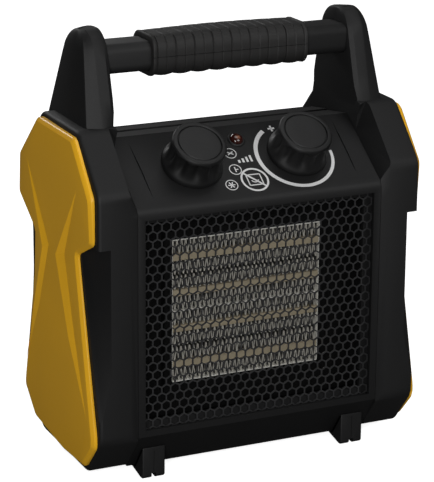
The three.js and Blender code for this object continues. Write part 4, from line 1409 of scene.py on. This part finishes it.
def operator(identifier, label, text, *builders):
    """A build operator that calls its builders in order."""
    def build(self):
        for make in builders:
            make()

    return type(
        f"HEATER_OT_{identifier}", (HeaterBuild, bpy.types.Operator),
        {"bl_idname": f"heater.{identifier}", "bl_label": label, "__doc__": text,
         "build": build})


def both(build):
    """A builder that runs another for the left side and then the right."""
    def run():
        for side in ("left", "right"):
            build(side)
    return run


CARRIED = {
    "inner_resin": ["element_frame", "air_baffle", "fan_shroud", "mode_switch_body",
                    "thermostat_body", "lamp_holder"],
    "housing_black": ["grille_clamp"],
    "rod_ceramic": [*(f"ptc_rod_{i + 1}" for i in range(MODULES)), "terminal_block"],
    "plain_steel": ["thermal_cutout", "motor_shaft", "fan_motor", "motor_screw_1",
                    "motor_screw_2"],
    "plain_brass": ["mode_switch_spindle", "thermostat_spindle"],
}


def finish_carried_nodes():
    for finish, nodes in CARRIED.items():
        for node in nodes:
            piece = bpy.data.objects[node]
            for slot in piece.material_slots:
                slot.material = finish_of(finish)


# Studio lights: name, place, what they point at, width, height and power
LIGHTS = [
    ("key", (0.75, -1.7, 1.25), (0, 0, 0.16), 1.0, 0.9, 12),
    ("side", (-1.0, -1.6, 0.6), (0, 0, 0.12), 0.6, 0.8, 19.8),
    ("top", (0.3, -0.1, 1.7), (0, 0, 0.1), 1.2, 0.8, 5),
    ("back", (-0.2, 1.7, 1.2), (0, 0, 0.15), 1.0, 0.6, 10),
]
FLOOR_REACH = 12.0
EYE = (-656.68, -1292.54, 594.85)
YAW, PITCH, ROLL = (math.radians(v) for v in (25.71, 16.71, 0.46))


def soft_box(name, place, aim, wide, tall, power):
    """A rectangular studio light that points at a spot."""
    light = bpy.data.lights.new(name, "AREA")
    light.shape, light.size, light.size_y, light.energy = "RECTANGLE", wide, tall, power
    lamp = linked(name, light)
    lamp.location = place
    lamp.rotation_euler = (Vector(aim) - Vector(place)).to_track_quat("-Z", "Y").to_euler()


def lay_floor():
    mesh = bpy.data.meshes.new("floor")
    corners = ((-1, -1), (1, -1), (1, 1), (-1, 1))
    mesh.from_pydata([(x * FLOOR_REACH, y * FLOOR_REACH, 0) for x, y in corners], [],
                     [(0, 1, 2, 3)])
    floor = linked("floor", mesh)
    mesh.materials.append(finish_of("floor_pale"))


def light_world():
    """A background that shows white and lights the object only faintly."""
    world = bpy.data.worlds.new("studio")
    world.use_nodes = True
    sky = Tree(world.node_tree)
    seen = sky.add("ShaderNodeLightPath").outputs["Is Camera Ray"]
    level = Number(sky, seen) * (1.0 - AMBIENT) + AMBIENT
    sky.feed(world.node_tree.nodes["Background"], {"Strength": level, "Color": (1, 1, 1, 1)})
    bpy.context.scene.world = world


def place_camera():
    camera = bpy.data.cameras.new("camera")
    camera.lens, camera.sensor_width, camera.sensor_fit = 171.0, 36.0, "AUTO"
    camera.shift_x, camera.shift_y = 0.00075, -0.0027
    camera.clip_end = 50
    eye = linked("camera", camera)
    ahead = Vector((math.sin(YAW) * math.cos(PITCH), math.cos(YAW) * math.cos(PITCH),
                    -math.sin(PITCH)))
    across = Vector((math.cos(YAW), -math.sin(YAW), 0))
    over = across.cross(ahead)
    right = across * math.cos(ROLL) + over * math.sin(ROLL)
    up = over * math.cos(ROLL) - across * math.sin(ROLL)
    turn = Matrix((right, up, -ahead)).transposed().to_4x4()
    eye.matrix_world = Matrix.Translation(to_world(EYE)) @ turn
    bpy.context.scene.camera = eye


def build_stage():
    lay_floor()
    light_world()
    for light in LIGHTS:
        soft_box(*light)
    bpy.context.scene.view_settings.view_transform = "Standard"
    place_camera()


OPERATORS = [
    operator("stage", "Studio", "Floor, lights and camera", build_stage),
    operator("housing", "Housing", "Front panel and rear shell of the housing",
             build_front_panel, build_rear_shell),
    operator("frames", "Side frames", "Side frames with their columns and towers",
             both(build_side_frame)),
    operator("plates", "Side plates", "Faceted yellow side plates", both(build_side_plate)),
    operator("handle", "Handle", "Handle bar and the two halves of its grip", build_handle),
    operator("grille", "Outlet mesh", "Pierced sheet over the outlet", build_grille),
    operator("element", "Heating element", "Folded fins and strips", build_element),
    operator("fan", "Fan", "Fan wheel", build_fan),
    operator("guard", "Rear guard", "Wires and rim over the intake", build_rear_guard),
    operator("inlet", "Cord inlet", "Collar that the mains lead would pass", build_inlet),
    operator("knobs", "Knobs", "Mode and thermostat knobs with their caps", build_knobs),
    operator("marks", "Panel marks", "Printed dial and symbols", build_marks),
    operator("lamp", "Pilot lamp", "Lens and collar of the pilot lamp", build_lamp),
    operator("feet", "Feet", "Front and rear feet", build_feet),
    operator("screws", "Screws", "Screws of the rear shell", build_screws),
    operator("finishes", "Inner finishes", "Finishes of the pieces kept from the frame",
             finish_carried_nodes),
]


class HEATER_PT_panel(bpy.types.Panel):
    """Lists the build steps, sizes and colours."""

    bl_label = "Ceramic heater"
    bl_space_type = "VIEW_3D"
    bl_region_type = "UI"
    bl_category = "Heater"

    def draw(self, context):
        for step in OPERATORS:
            self.layout.operator(step.bl_idname)
        for group in (context.scene.heater_sizes, context.scene.heater_colours):
            box = self.layout.box()
            for key in group.__annotations__:
                box.prop(group, key)


CLASSES = [HeaterSizes, HeaterColours, *OPERATORS, HEATER_PT_panel]


def register():
    for cls in CLASSES:
        bpy.utils.register_class(cls)
    bpy.types.Scene.heater_sizes = bpy.props.PointerProperty(type=HeaterSizes)
    bpy.types.Scene.heater_colours = bpy.props.PointerProperty(type=HeaterColours)


def unregister():
    del bpy.types.Scene.heater_colours
    del bpy.types.Scene.heater_sizes
    for cls in reversed(CLASSES):
        bpy.utils.unregister_class(cls)


def main():
    register()
    for step in OPERATORS:
        name = step.bl_idname.split(".")[1]
        getattr(bpy.ops.heater, name)()


if __name__ == "__main__":
    main()
